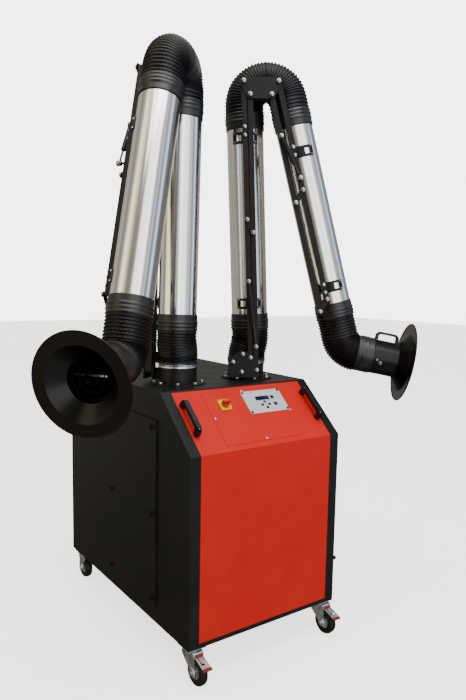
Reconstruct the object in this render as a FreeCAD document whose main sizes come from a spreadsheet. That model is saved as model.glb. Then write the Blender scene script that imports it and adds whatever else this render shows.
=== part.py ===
import FreeCAD, Part
import math
import os

from FreeCAD import Placement, Rotation, Vector

# Mobile fume extractor: a wheeled filter cabinet with two balanced extraction arms.
# Frame: millimetres, +Z up, origin on the floor under the middle of the cabinet,
# the operating front faces -Y. Each arm is drawn in a frame of its own, whose +X runs
# outwards along the arm and whose -Y side carries the linkage.

SIZES = {
    # cabinet of folded sheet
    "cabinet_width": 690,
    "cabinet_depth": 1070,
    "cabinet_height": 886,
    "slope_run": 215,
    "slope_drop": 191,
    "sheet_wall": 3,
    "frame_depth": 7,
    "side_strip": 42,
    "base_strip": 28,
    "top_strip": 6,
    "seat_lip": 20,
    "panel_sheet": 3,
    "panel_gap": 1,
    "seat_gap": 0.3,
    "cut_overrun": 5,
    "duct_hole": 140,
    "vent_width": 420,
    "vent_slot": 12,
    "vent_pitch": 30,
    "vent_count": 6,
    "vent_low": 176,
    "gland_bore": 22,
    "gland_side": 230,
    "gland_rise": 130,
    # lift-off service panel on the left side
    "door_front": 232,
    "door_length": 402,
    "door_low": 67,
    "door_height": 713,
    "door_proud": 8,
    "door_skin": 2.5,
    "door_flange": 16,
    "bay_margin": 24,
    "lock_inset": 26,
    "lock_head": 10,
    "lock_disc": 5,
    "lock_height": 11,
    "lock_wing": 4,
    # controls on the sloping panel
    "cover_width": 366,
    "cover_height": 238,
    "cover_low": 23,
    "cover_sheet": 1.5,
    "plate_width": 187,
    "plate_height": 107,
    "plate_left": 10,
    "plate_low": 144,
    "plate_sheet": 2,
    "plate_round": 6,
    "screen_width": 70,
    "screen_height": 24,
    "screen_left": 51,
    "screen_low": 58,
    "screen_proud": 0.8,
    "switch_side": 48,
    "switch_round": 5,
    "switch_from_middle": 108,
    "switch_rise": 199,
    "switch_base_height": 6,
    "switch_spindle": 5,
    "knob_radius": 16,
    "knob_skirt": 9,
    "knob_height": 24,
    "knob_grip": 9,
    "handle_from_middle": 284,
    "handle_low": 78,
    "handle_length": 146,
    "handle_height": 40,
    "handle_bar": 15,
    "handle_leg": 18,
    "handle_slant": 14,
    "handle_width": 18,
    # casters
    "caster_height": 130,
    "caster_side": 308,
    "rear_caster_back": 470,
    "front_caster_out": 495,
    "caster_trail": 42,
    "wheel_diameter": 100,
    "wheel_width": 32,
    "wheel_crown": 6,
    "hub_diameter": 66,
    "hub_dish": 5,
    "axle_diameter": 12,
    "fork_sheet": 3,
    "fork_gap": 2,
    "fork_head": 28,
    "fork_round": 12,
    "fork_spread": 22,
    "crown_height": 6,
    "top_plate_length": 78,
    "top_plate_width": 72,
    "top_plate_sheet": 4,
    "kingpin_diameter": 16,
    "race_height": 13,
    "race_diameter": 58,
    "cup_height": 4,
    "pedal_width": 34,
    "pedal_length": 78,
    "pedal_sheet": 3,
    "pedal_lip": 26,
    "pedal_rail": 7,
    "pedal_heel": 16,
    "pedal_pin": 6,
    "pedal_back": 36,
    "pedal_rise": 111,
    "pedal_slope": 20,
    "running_fit": 0.1,
    "open_fit": 0.3,
    # filter and fan inside the cabinet
    "filter_width": 560,
    "filter_length": 338,
    "filter_height": 560,
    "filter_frame": 20,
    "filter_side_gap": 30,
    "filter_play": 8,
    "filter_pleats": 14,
    "pleat_depth": 60,
    "pleat_sheet": 12,
    "fan_radius": 190,
    "fan_height": 150,
    "fan_wall": 3,
    "fan_eye": 120,
    "fan_back": 310,
    "fan_outlet": 170,
    "motor_radius": 85,
    "motor_height": 170,
    "shaft_diameter": 24,
    "shaft_depth": 40,
    "impeller_lift": 12,
    "impeller_radius": 165,
    "impeller_height": 90,
    "impeller_hub": 34,
    "impeller_plate": 4,
    "impeller_ring": 28,
    "blade_sheet": 3,
    "blade_count": 10,
    "blade_sweep": 35,
    "blade_inner": 90,
    "blade_length": 72,
    # arm feet on the cabinet top
    "arm_side": 168,
    "arm_front": 147,
    "flange_diameter": 215,
    "flange_sheet": 5,
    "flange_bolts": 8,
    "flange_circle": 188,
    "flange_bolt": 8,
    "neck_height": 40,
    "neck_wall": 2.5,
    "collar_diameter": 150,
    "collar_wall": 2,
    "collar_height": 84,
    "collar_cuff": 25,
    "saddle_low": 12,
    "saddle_high": 54,
    "saddle_back": 55,
    "saddle_ahead": 36,
    # arm linkage, measured from the photograph
    "right_heading": -36.8,
    "left_heading": -143.5,
    "shoulder_lean": -2.6,
    "right_forearm_angle": 14.4,
    "left_forearm_angle": 17.2,
    "right_hood_pitch": 10.5,
    "left_hood_pitch": 10.5,
    "pivot_ahead": 18,
    "pivot_rise": 97,
    "link_ahead": 26,
    "link_drop": 50,
    "lower_arm_length": 1082,
    "elbow_span": 136,
    "forearm_length": 866,
    "lower_mid_share": 0.51,
    "forearm_mid_share": 0.49,
    "inner_plate_out": 84,
    "outer_plate_out": 122,
    "link_plate": 4,
    "plate_play": 0.3,
    "bar_out": 91,
    "bar_depth": 28,
    "bar_width": 20,
    "bar_wall": 2,
    "bush_radius": 9,
    "pin_radius": 5,
    "pin_head_radius": 9,
    "pin_head_height": 6,
    "bracket_length": 106,
    "bracket_height": 111,
    "bracket_round": 12,
    "spacer_radius": 7,
    "elbow_round": 15,
    "mid_link_round": 10,
    # tubes and their clamps
    "tube_diameter": 150,
    "tube_wall": 2,
    "forearm_tube_offset": 32,
    "lower_cuff_low": 175,
    "lower_cuff_high": 918,
    "forearm_cuff_high": 165,
    "forearm_cuff_low": 890,
    "cuff_length": 66,
    "cuff_grip": 58,
    "clamp_height": 44,
    "clamp_sheet": 4,
    "clamp_angle": 76,
    "clamp_window": 24,
    "clamp_window_from_bar": 15,
    "clamp_rail": 10,
    "clamp_block": 16,
    "lower_clamp_low": 196,
    "lower_clamp_high": 857,
    "forearm_clamp_high": 248,
    "forearm_clamp_low": 800,
    # gas springs
    "spring_out": 133.5,
    "spring_radius": 9,
    "spring_rod": 4,
    "spring_eye": 9,
    "stud_radius": 4,
    "lower_spring_bar": 308,
    "lower_spring_link": 97,
    "lower_spring_body": 170,
    "lower_spring_tuck": 90,
    "forearm_spring_bar": 380,
    "forearm_spring_link": 165,
    "forearm_spring_body": 118,
    "forearm_spring_tuck": 30,
    "spring_end": 14,
    # ribbed hoses
    "cuff_sheet": 3.2,
    "rib_crest": 79,
    "rib_valley": 75,
    "hose_bore": 72,
    "base_hose_ribs": 14,
    "elbow_hose_ribs": 40,
    "hood_hose_ribs": 22,
    "base_corner_low": 108,
    "base_corner_high": 62,
    "base_corner_reach": 20,
    "elbow_crown": 1100,
    "hood_bend_radius": 84,
    "bore_step": 7,
    # hood
    "hood_pivot_down": 1095,
    "hood_reach": 266,
    "rim_diameter": 330,
    "rim_sheet": 3,
    "mouth_diameter": 244,
    "cone_length": 40,
    "duct_diameter": 145,
    "duct_wall": 2,
    "duct_length": 104,
    "duct_grip": 60,
    "stay_radius": 8,
    "stay_strap": 30,
    "stay_strap_sheet": 6,
    "eye_radius": 16,
    "eye_clear": 30,
    "eye_width": 12,
    "fork_cheek": 6,
    "hood_pin_radius": 5,
    "grip_height": 34,
    "grip_length": 98,
    "grip_bar": 8,
    "grip_width": 14,
    "grip_slant": 12,
    "grip_ahead": 2,
    "guard_wire": 2,
    "guard_depth": 26,
    "guard_rings": 3,
    "guard_spokes": 3,
}

# shares chosen by hand
RIB_SHARES = (0.08, 0.34, 0.66, 0.92)
BRACKET_SHARES = ((-0.58, 0.24), (0.41, 0.24), (0.41, 0.46),
                  (0.16, 0.96), (-0.20, 1.0), (-0.58, 0.72))
SPACER_SHARES = ((-0.13, 1.0), (-0.50, 0.70), (-0.16, 0.34))
LOCK_SHARES = (0, 0.5, 1)

OUT = Vector(0, -1, 0)
UP = Vector(0, 0, 1)
SIDES = ("left", "right")

doc = FreeCAD.newDocument("fume_extractor")
dims = doc.addObject("Spreadsheet::Sheet", "dims")
for row, (alias, value) in enumerate(SIZES.items(), start=1):
    dims.set("A%d" % row, alias)
    dims.set("B%d" % row, str(value))
    dims.setAlias("B%d" % row, alias)
doc.recompute()


class Sizes:
    """Reads a driving dimension from the sheet by its alias."""

    def __getattr__(self, alias):
        return float(dims.get(alias))


S = Sizes()
nodes = {}


# Small helpers

def sin(angle):
    return math.sin(math.radians(angle))


def cos(angle):
    return math.cos(math.radians(angle))


def bind(item, **formulas):
    for prop, formula in formulas.items():
        item.setExpression(prop, formula)
    return item


def flat(point):
    """A point of the X-Z plane as a sketch point."""
    return Vector(point.x, point.z, 0)


def box(name, length, width, height, at, turn=Rotation()):
    item = doc.addObject("Part::Box", name)
    bind(item, Length=length, Width=width, Height=height)
    item.Placement = Placement(at, turn)
    return item


def cylinder(name, radius, height, at=Vector(), turn=Rotation(), angle=None):
    item = doc.addObject("Part::Cylinder", name)
    bind(item, Radius=radius, Height=height)
    if angle:
        bind(item, Angle=angle)
    item.Placement = Placement(at, turn)
    return item


def outward(name, radius, height, point, out):
    """A cylinder that runs outwards, along -Y, from a distance out of the arm's middle plane."""
    return cylinder(name, radius, height, Vector(point.x, -out, point.z), Rotation(Vector(1, 0, 0), 90))


def fuse(name, pieces):
    item = doc.addObject("Part::MultiFuse", name)
    item.Shapes = pieces
    return item


def cut(name, base, tools):
    item = doc.addObject("Part::Cut", name)
    item.Base = base
    item.Tool = tools[0] if len(tools) == 1 else fuse(name + "_tools", tools)
    return item


def group(label, pieces, place=Placement()):
    """One named sub-part, made of one or more solids."""
    item = doc.addObject("Part::Compound", label)
    item.Label = label
    item.Links = pieces
    item.Placement = place
    nodes[label] = item
    return item


def polygon(points):
    ends = points[1:] + points[:1]
    return [Part.LineSegment(a, b) for a, b in zip(points, ends)]


def hull(points, radius):
    """Outline at a radius around a convex run of points, listed anticlockwise."""
    curves = []
    count = len(points)
    for i, here in enumerate(points):
        before, after = points[i - 1], points[(i + 1) % count]
        came, goes = here - before, after - here
        first = math.atan2(-came.x, came.y)
        last = math.atan2(-goes.x, goes.y)
        side = Vector(goes.y, -goes.x, 0).normalize() * radius
        curves.append(Part.ArcOfCircle(Part.Circle(here, UP, radius), first, last))
        curves.append(Part.LineSegment(here + side, after + side))
    return curves


def sketch_on(body, role, lift):
    plane = next(item for item in body.Origin.OriginFeatures if item.Role == role)
    sketch = body.newObject("Sketcher::SketchObject", body.Name + "_outline")
    sketch.AttachmentSupport = (plane, [""])
    sketch.MapMode = "FlatFace"
    sketch.AttachmentOffset = Placement(Vector(0, 0, lift), Rotation())
    return sketch


def pad(name, role, curves, thickness, lift=0.0, holes=(), middle=False):
    """A flat piece: a sketched outline with round holes, padded to its thickness."""
    body = doc.addObject("PartDesign::Body", name)
    sketch = sketch_on(body, role, lift)
    for curve in curves:
        sketch.addGeometry(curve)
    for centre, radius in holes:
        sketch.addGeometry(Part.Circle(centre, UP, radius))
    feature = body.newObject("PartDesign::Pad", name + "_pad")
    feature.Profile = sketch
    feature.Midplane = middle
    bind(feature, Length=thickness)
    return body


def turned(name, points, place=Placement()):
    """A turned piece: a half section of radius and height, revolved about Z."""
    body = doc.addObject("PartDesign::Body", name)
    sketch = sketch_on(body, "XZ_Plane", 0.0)
    for curve in polygon([Vector(r, z, 0) for r, z in points]):
        sketch.addGeometry(curve)
    feature = body.newObject("PartDesign::Revolution", name + "_turn")
    feature.Profile = sketch
    feature.ReferenceAxis = (sketch, ["V_Axis"])
    feature.Angle = 360
    body.Placement = place
    return body


def tube(name, outer, inner, height, at=Vector(), turn=Rotation()):
    """A plain tube from the formulas of its radii."""
    shell = cylinder(name + "_outer", outer, height, at, turn)
    along = turn.multVec(UP)
    through = height + " + 2 * dims.cut_overrun"
    bore = cylinder(name + "_bore", inner, through, at - along * S.cut_overrun, turn)
    return cut(name, shell, [bore])


# Places that several pieces share

def floor_frame(x, y, z=0.0):
    return Placement(Vector(x, y, z), Rotation())


def cabinet_top():
    return S.caster_height + S.cabinet_height


def slope_angle():
    return math.degrees(math.atan2(S.slope_drop, S.slope_run))


def slope_length():
    return math.hypot(S.slope_drop, S.slope_run)


def slope_frame():
    """X across the cabinet, Y up the slope from the knee, Z square out of the panel."""
    knee = Vector(0, -S.cabinet_depth / 2, cabinet_top() - S.slope_drop)
    return Placement(knee, Rotation(Vector(1, 0, 0), slope_angle()))


def profile(front, rear, low, high):
    """Side outline of the cabinet, drawn in by a wall at the front, rear, foot and top."""
    half = S.cabinet_depth / 2
    foot, top = S.caster_height, cabinet_top()
    knee = top - S.slope_drop
    lean = slope_angle() / 2
    drawn = front * math.tan(math.radians(lean))
    run = (high - front / cos(slope_angle())) / math.tan(math.radians(slope_angle()))
    return [
        Vector(-half + front, foot + low, 0),
        Vector(half - rear, foot + low, 0),
        Vector(half - rear, top - high, 0),
        Vector(-half + S.slope_run - run, top - high, 0),
        Vector(-half + front, knee - drawn, 0),
    ]


def slab(name, length, width, height, corner, place):
    """A box set in another frame, from its low corner there."""
    item = box(name, length, width, height, Vector())
    item.Placement = place.multiply(Placement(corner, Rotation()))
    return item


# Cabinet

def make_cabinet():
    walls = (S.frame_depth, S.sheet_wall, S.sheet_wall, S.sheet_wall)
    shell = pad("cabinet_block", "YZ_Plane", polygon(profile(0, 0, 0, 0)), "dims.cabinet_width", middle=True)
    room = pad("cabinet_room", "YZ_Plane", polygon(profile(*walls)),
               "dims.cabinet_width - 2 * dims.sheet_wall", middle=True)
    body = cut("cabinet_shell", shell, [room, seat_cut(), window_cut()])
    body = cut("cabinet_ducts", body, duct_cuts())
    body = cut("cabinet_vents", body, vent_cuts() + [gland_cut()])
    body = cut("cabinet_bay", body, [bay_cut()])
    group("cabinet_body", [fuse("cabinet_welded", [body, shelf()])])


def band(depth, foot, head):
    """Section of the front sheet: up the front, over the knee and up the slope."""
    half = S.cabinet_depth / 2
    front, slope = -half, slope_frame()
    knee = cabinet_top() - S.slope_drop
    drawn = depth * math.tan(math.radians(slope_angle() / 2))
    outer = slope.multVec(Vector(0, slope_length() - head, 0))
    inner = slope.multVec(Vector(0, slope_length() - head, -depth))
    low = S.caster_height + foot
    return [
        Vector(front, low, 0),
        Vector(front + depth, low, 0),
        Vector(front + depth, knee - drawn, 0),
        Vector(inner.y, inner.z, 0),
        Vector(outer.y, outer.z, 0),
        Vector(front, knee, 0),
    ]


def seat_cut():
    """The recess that the red front panel sits in."""
    curves = polygon(band(S.panel_sheet + S.seat_gap, S.base_strip, S.top_strip))
    return pad("front_seat", "YZ_Plane", curves, "dims.cabinet_width - 2 * dims.side_strip", middle=True)


def window_cut():
    """The opening behind the front panel, inside the lip that the panel rests on."""
    depth, foot, head = S.frame_depth + S.cut_overrun, S.base_strip + S.seat_lip, S.top_strip + S.seat_lip
    curves = polygon(band(depth, foot, head))
    width = "dims.cabinet_width - 2 * dims.side_strip - 2 * dims.seat_lip"
    return pad("front_window", "YZ_Plane", curves, width, middle=True)


def duct_cuts():
    holes = []
    for side in SIDES:
        foot = arm_frame(side).Base - UP * (S.sheet_wall + S.cut_overrun)
        depth = "dims.sheet_wall + 2 * dims.cut_overrun"
        holes.append(cylinder(side + "_duct_hole", "dims.duct_hole / 2", depth, foot))
    return holes


def vent_cuts():
    """A ladder of exhaust slots in the rear wall."""
    slots = []
    for i in range(int(S.vent_count)):
        corner = Vector(-S.vent_width / 2, S.cabinet_depth / 2 - S.sheet_wall - S.cut_overrun,
                        S.caster_height + S.vent_low + i * S.vent_pitch)
        slots.append(box("vent_%d" % i, "dims.vent_width", "dims.sheet_wall + 2 * dims.cut_overrun",
                         "dims.vent_slot", corner))
    return slots


def gland_cut():
    at = Vector(S.gland_side, S.cabinet_depth / 2 + S.cut_overrun, S.caster_height + S.gland_rise)
    return cylinder("gland_hole", "dims.gland_bore / 2", "dims.sheet_wall + 2 * dims.cut_overrun", at,
                    Rotation(Vector(1, 0, 0), 90))


def door_corner():
    """Low front corner of the service panel, on the left wall."""
    return Vector(-S.cabinet_width / 2, -S.cabinet_depth / 2 + S.door_front, S.caster_height + S.door_low)


def bay_cut():
    corner = door_corner() + Vector(-S.cut_overrun, S.bay_margin, S.bay_margin)
    return box("filter_bay", "dims.sheet_wall + 2 * dims.cut_overrun",
               "dims.door_length - 2 * dims.bay_margin", "dims.door_height - 2 * dims.bay_margin", corner)


def make_front_panel():
    curves = polygon(band(S.panel_sheet, S.base_strip + S.panel_gap, S.top_strip + S.panel_gap))
    width = "dims.cabinet_width - 2 * dims.side_strip - 2 * dims.panel_gap"
    group("front_panel", [pad("front_sheet", "YZ_Plane", curves, width, middle=True)])


def make_service_panel():
    """A tray of folded sheet over the filter bay, with wing locks along its edges."""
    low = door_corner()
    tray = box("door_tray", "dims.door_proud", "dims.door_length", "dims.door_height",
               low - Vector(S.door_proud, 0, 0))
    inset = Vector(S.door_skin - S.door_proud, S.door_flange, S.door_flange)
    hollow = box("door_hollow", "dims.door_proud", "dims.door_length - 2 * dims.door_flange",
                 "dims.door_height - 2 * dims.door_flange", low + inset)
    pieces = [cut("door_sheet", tray, [hollow])]
    for i, along in enumerate((S.lock_inset, S.door_length - S.lock_inset)):
        for j, share in enumerate(LOCK_SHARES):
            rise = S.lock_inset + share * (S.door_height - 2 * S.lock_inset)
            pieces.append(wing_lock("lock_%d_%d" % (i, j), low + Vector(-S.door_proud, along, rise)))
    group("service_panel", pieces)


def wing_lock(name, seat):
    head = cylinder(name + "_head", "dims.lock_head", "dims.lock_disc", seat, Rotation(Vector(0, 1, 0), -90))
    corner = seat + Vector(-S.lock_height, -S.lock_wing / 2, -S.lock_head)
    wing = box(name + "_wing", "dims.lock_height", "dims.lock_wing", "2 * dims.lock_head", corner)
    return fuse(name, [head, wing])


# Controls

def make_controls():
    frame = slope_frame()
    deck = S.cover_sheet
    cover = slab("cover_plate", "dims.cover_width", "dims.cover_height", "dims.cover_sheet",
                 Vector(-S.cover_width / 2, S.cover_low, 0), frame)
    group("control_cover", [cover])
    low = Vector(-S.plate_left, S.plate_low, 0)
    keypad = pad("keypad", "XY_Plane", hull(keypad_corners(low), S.plate_round), "dims.plate_sheet", deck)
    keypad.Placement = frame
    group("control_plate", [keypad])
    corner = low + Vector(S.screen_left, S.screen_low, deck + S.plate_sheet)
    screen = slab("screen_glass", "dims.screen_width", "dims.screen_height", "dims.screen_proud",
                  corner, frame)
    group("display_window", [screen])
    make_switch(frame, deck)
    make_front_handles(frame)


def keypad_corners(low):
    """Centres of the keypad plate's rounded corners."""
    near = S.plate_round
    wide, high = S.plate_width - near, S.plate_height - near
    return [low + Vector(x, y, 0) for x, y in ((near, near), (wide, near), (wide, high), (near, high))]


def make_switch(frame, deck):
    reach = S.switch_side / 2 - S.switch_round
    middle = Vector(-S.switch_from_middle, S.switch_rise, 0)
    corners = ((-reach, -reach), (reach, -reach), (reach, reach), (-reach, reach))
    points = [middle + Vector(x, y, 0) for x, y in corners]
    plate = pad("switch_plate", "XY_Plane", hull(points, S.switch_round), "dims.switch_base_height", deck)
    top = middle + UP * (deck + S.switch_base_height)
    spindle = cylinder("switch_spindle", "dims.switch_spindle", "dims.knob_skirt - dims.seat_gap", top)
    group("switch_base", [fuse("switch_fixed", [plate, spindle])], frame)
    rise = top + UP * S.seat_gap
    skirt = cylinder("knob_skirt", "dims.knob_radius", "dims.knob_skirt", rise)
    grip = box("knob_grip", "2 * dims.knob_radius", "dims.knob_grip", "dims.knob_height",
               rise - Vector(S.knob_radius, S.knob_grip / 2, 0))
    shape = doc.addObject("Part::MultiCommon", "knob_grip_round")
    shape.Shapes = [grip, cylinder("knob_round", "dims.knob_radius", "dims.knob_height", rise)]
    socket = cylinder("knob_socket", "dims.switch_spindle + dims.running_fit", "dims.knob_skirt",
                      rise - UP * S.seat_gap)
    group("switch_knob", [cut("knob_turned", fuse("knob_solid", [skirt, shape]), [socket])], frame)


def make_front_handles(frame):
    """Two bridge handles, bent from bar, one on each edge of the slope."""
    pieces = []
    low, high = S.handle_low, S.handle_low + S.handle_length
    top, bar, leg, slant = S.handle_height, S.handle_bar, S.handle_leg, S.handle_slant
    outline = [
        (low, 0), (low + leg, 0), (low + leg, top - bar - slant / 2), (low + leg + slant / 2, top - bar),
        (high - leg - slant / 2, top - bar), (high - leg, top - bar - slant / 2), (high - leg, 0), (high, 0),
        (high, top - slant), (high - slant, top), (low + slant, top), (low, top - slant),
    ]
    for side, sign in zip(SIDES, (-1, 1)):
        shift = sign * S.handle_from_middle - S.handle_width / 2
        curves = polygon([Vector(y, z, 0) for y, z in outline])
        bow = pad(side + "_handle_bow", "YZ_Plane", curves, "dims.handle_width", shift)
        pieces.append(bow)
    group("front_handles", pieces, frame)


# Casters

def wheel(label, place):
    """Rubber tyre on a dished hub, drawn about Z and laid on its axle."""
    half, crown = S.wheel_width / 2, S.wheel_crown
    radius, hub = S.wheel_diameter / 2, S.hub_diameter / 2
    seat = hub + S.seat_gap
    tyre = [(seat, -half), (radius - crown, -half), (radius, -half + crown), (radius, half - crown),
            (radius - crown, half), (seat, half)]
    bore, boss, dish = S.axle_diameter / 2 + S.running_fit, S.axle_diameter, S.hub_dish
    disc = [(bore, -half), (boss, -half), (boss, -half + dish), (hub, -half + dish),
            (hub, half - dish), (boss, half - dish), (boss, half), (bore, half)]
    lay = place.multiply(Placement(Vector(), Rotation(Vector(0, 1, 0), 90)))
    group(label, [turned(label + "_tyre", tyre), turned(label + "_hub", disc)], lay)


def leg_side():
    return S.wheel_width / 2 + S.fork_gap


def crown_low():
    return S.caster_height - S.top_plate_sheet - S.race_height - S.crown_height


def fork_pieces(name, points, ear=None):
    """Two pressed legs with a crown over the wheel and the axle between them."""
    pieces = []
    for sign, lift in ((0, -leg_side() - S.fork_sheet), (1, leg_side())):
        holes = [(ear, S.pedal_pin / 2 + S.running_fit)] if ear else ()
        pieces.append(pad("%s_leg_%d" % (name, sign), "YZ_Plane", hull(points, S.fork_round),
                          "dims.fork_sheet", lift, holes))
    width = "dims.wheel_width + 2 * dims.fork_gap + 2 * dims.fork_sheet"
    edge = -leg_side() - S.fork_sheet
    pieces.append(box(name + "_crown", width, "2 * dims.fork_head", "dims.crown_height",
                      Vector(edge, -S.fork_head, crown_low())))
    axle = points[-1]
    pieces.append(cylinder(name + "_axle", "dims.axle_diameter / 2", width, Vector(edge, axle.x, axle.y),
                           Rotation(Vector(0, 1, 0), 90)))
    return pieces


def leg_top():
    return crown_low() + S.crown_height / 2 - S.fork_round


def make_front_caster(side, sign):
    place = floor_frame(sign * S.caster_side, -S.front_caster_out)
    axle = Vector(-S.caster_trail, S.wheel_diameter / 2, 0)
    ear = Vector(-S.pedal_back, S.pedal_rise, 0)
    points = [Vector(S.fork_spread, leg_top(), 0), ear, axle]
    pieces = fork_pieces(side + "_fork", points, ear)
    head = cylinder(side + "_race", "dims.race_diameter / 2",
                    "dims.race_height - dims.cup_height - dims.seat_gap", UP * (crown_low() + S.crown_height))
    bore = cylinder(side + "_king_bore", "dims.kingpin_diameter / 2 + dims.running_fit",
                    "dims.crown_height + dims.race_height + 2 * dims.cut_overrun",
                    UP * (crown_low() - S.cut_overrun))
    body = cut(side + "_fork_bored", fuse(side + "_fork_welded", pieces + [head]), [bore])
    group(side + "_front_fork", [body], place)
    wheel(side + "_front_wheel", place.multiply(floor_frame(0, axle.x, axle.y)))
    hinge = Placement(Vector(0, ear.x, ear.y), Rotation(Vector(1, 0, 0), S.pedal_slope))
    make_pedal(side, place.multiply(hinge))
    plate = top_plate(side + "_front_plate")
    cup = cylinder(side + "_cup", "dims.race_diameter / 2", "dims.cup_height",
                   UP * (S.caster_height - S.top_plate_sheet - S.cup_height))
    king = cylinder(side + "_kingpin", "dims.kingpin_diameter / 2",
                    "dims.race_height - dims.cup_height + dims.crown_height",
                    UP * crown_low())
    mount = fuse(side + "_front_mount", [plate, cup, king])
    mount.Placement = place
    return mount


def top_plate(name):
    return box(name, "dims.top_plate_width", "dims.top_plate_length", "dims.top_plate_sheet",
               Vector(-S.top_plate_width / 2, -S.top_plate_length / 2, S.caster_height - S.top_plate_sheet))


def make_pedal(side, place):
    """Brake pedal: a windowed plate on a cross pin between the fork's ears."""
    half = S.pedal_width / 2
    plate = box(side + "_pedal_plate", "dims.pedal_width", "dims.pedal_length", "dims.pedal_sheet",
                Vector(-half, -S.pedal_length, 0))
    inset = Vector(-half + S.pedal_rail, -S.pedal_length + S.pedal_lip, -S.cut_overrun)
    window = box(side + "_pedal_window", "dims.pedal_width - 2 * dims.pedal_rail",
                 "dims.pedal_length - dims.pedal_lip - dims.pedal_heel",
                 "dims.pedal_sheet + 2 * dims.cut_overrun", inset)
    pressed = cut(side + "_pedal_pressed", plate, [window])
    across = Rotation(Vector(0, 1, 0), 90)
    barrel = cylinder(side + "_pedal_barrel", "dims.pedal_pin", "dims.pedal_width",
                      Vector(-half, 0, 0), across)
    reach = "dims.wheel_width + 2 * dims.fork_gap + 2 * dims.fork_sheet"
    pin = cylinder(side + "_pedal_pin", "dims.pedal_pin / 2", reach,
                   Vector(-leg_side() - S.fork_sheet, 0, 0), across)
    group(side + "_brake_pedal", [fuse(side + "_pedal_body", [pressed, barrel, pin])], place)


def make_rear_caster(side, sign):
    place = floor_frame(sign * S.caster_side, S.rear_caster_back)
    axle = Vector(0, S.wheel_diameter / 2, 0)
    points = [Vector(S.fork_spread, leg_top(), 0), Vector(-S.fork_spread, leg_top(), 0), axle]
    pieces = fork_pieces(side + "_rear_fork", points)
    rise = box(side + "_rear_riser", "2 * dims.fork_head", "2 * dims.fork_head", "dims.race_height",
               Vector(-S.fork_head, -S.fork_head, crown_low() + S.crown_height))
    mount = fuse(side + "_rear_mount", pieces + [rise, top_plate(side + "_rear_plate")])
    mount.Placement = place
    wheel(side + "_rear_wheel", place.multiply(floor_frame(0, axle.x, axle.y)))
    return mount


def make_casters():
    mounts = []
    for side, sign in zip(SIDES, (-1, 1)):
        mounts.append(make_front_caster(side, sign))
        mounts.append(make_rear_caster(side, sign))
    group("caster_mounts", mounts)


# Filter and fan

def filter_corner():
    return door_corner() + Vector(S.sheet_wall + S.filter_side_gap, S.bay_margin + S.filter_play,
                                  S.bay_margin + S.filter_play)


def make_filter():
    """A framed cassette with a pleated sheet across it, standing on the shelf."""
    low = filter_corner()
    frame = box("filter_case", "dims.filter_width", "dims.filter_length", "dims.filter_height", low)
    inset = Vector(S.filter_frame, -S.cut_overrun, S.filter_frame)
    hollow = box("filter_hollow", "dims.filter_width - 2 * dims.filter_frame",
                 "dims.filter_length + 2 * dims.cut_overrun",
                 "dims.filter_height - 2 * dims.filter_frame", low + inset)
    start = low + Vector(S.filter_frame + S.seat_gap, (S.filter_length - S.pleat_depth) / 2, 0)
    count = 2 * int(S.filter_pleats)
    pitch = (S.filter_width - 2 * S.filter_frame - 2 * S.seat_gap) / count
    zigzag = [Vector(start.x + i * pitch, start.y + (i % 2) * S.pleat_depth, 0) for i in range(count + 1)]
    back = [point + Vector(0, S.pleat_sheet, 0) for point in reversed(zigzag)]
    pleats = pad("filter_pleats", "XY_Plane", polygon(zigzag + back),
                 "dims.filter_height - 2 * dims.filter_frame - dims.seat_gap", low.z + S.filter_frame)
    group("filter_cartridge", [cut("filter_frame", frame, [hollow]), pleats])


def shelf():
    """Shelf welded across the cabinet under the filter."""
    low = filter_corner()
    corner = Vector(-S.cabinet_width / 2 + S.sheet_wall / 2, low.y, low.z - S.sheet_wall)
    return box("filter_shelf", "dims.cabinet_width - dims.sheet_wall", "dims.filter_length",
               "dims.sheet_wall", corner)


def fan_foot():
    return Vector(0, S.fan_back, S.caster_height + S.sheet_wall)


def make_fan():
    foot = fan_foot()
    deck = foot + UP * S.motor_height
    motor = cylinder("fan_motor", "dims.motor_radius", "dims.motor_height", foot)
    socket = cylinder("motor_socket", "dims.shaft_diameter / 2 + dims.running_fit",
                      "dims.shaft_depth + dims.cut_overrun", deck - UP * S.shaft_depth)
    skin = scroll("fan_skin", deck, 0.0, "0 * dims.fan_wall")
    room = scroll("fan_room", deck, S.fan_wall, "dims.fan_wall")
    eye = cylinder("fan_eye_hole", "dims.fan_eye", "dims.fan_wall + 2 * dims.cut_overrun",
                   deck + UP * (S.fan_height - S.fan_wall - S.cut_overrun))
    hole = cylinder("fan_shaft_hole", "dims.shaft_diameter", "dims.fan_wall + 2 * dims.cut_overrun",
                    deck - UP * S.cut_overrun)
    group("fan_unit", [cut("fan_motor_bored", motor, [socket]), cut("fan_scroll", skin, [room, eye, hole])])
    make_impeller(deck)


def scroll(name, deck, wall, inset):
    """Round fan case with a straight outlet to the rear wall, drawn in by a wall."""
    low = deck + UP * wall
    height = "dims.fan_height - 2 * (%s)" % inset
    drum = cylinder(name + "_drum", "dims.fan_radius - " + inset, height, low)
    reach = "dims.cabinet_depth / 2 - dims.sheet_wall - dims.seat_gap - dims.fan_back + " + inset
    outlet = box(name + "_outlet", "dims.fan_outlet - 2 * (%s)" % inset, reach, height,
                 low + Vector(S.fan_radius - S.fan_outlet + wall, 0, 0))
    return fuse(name, [drum, outlet])


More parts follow.
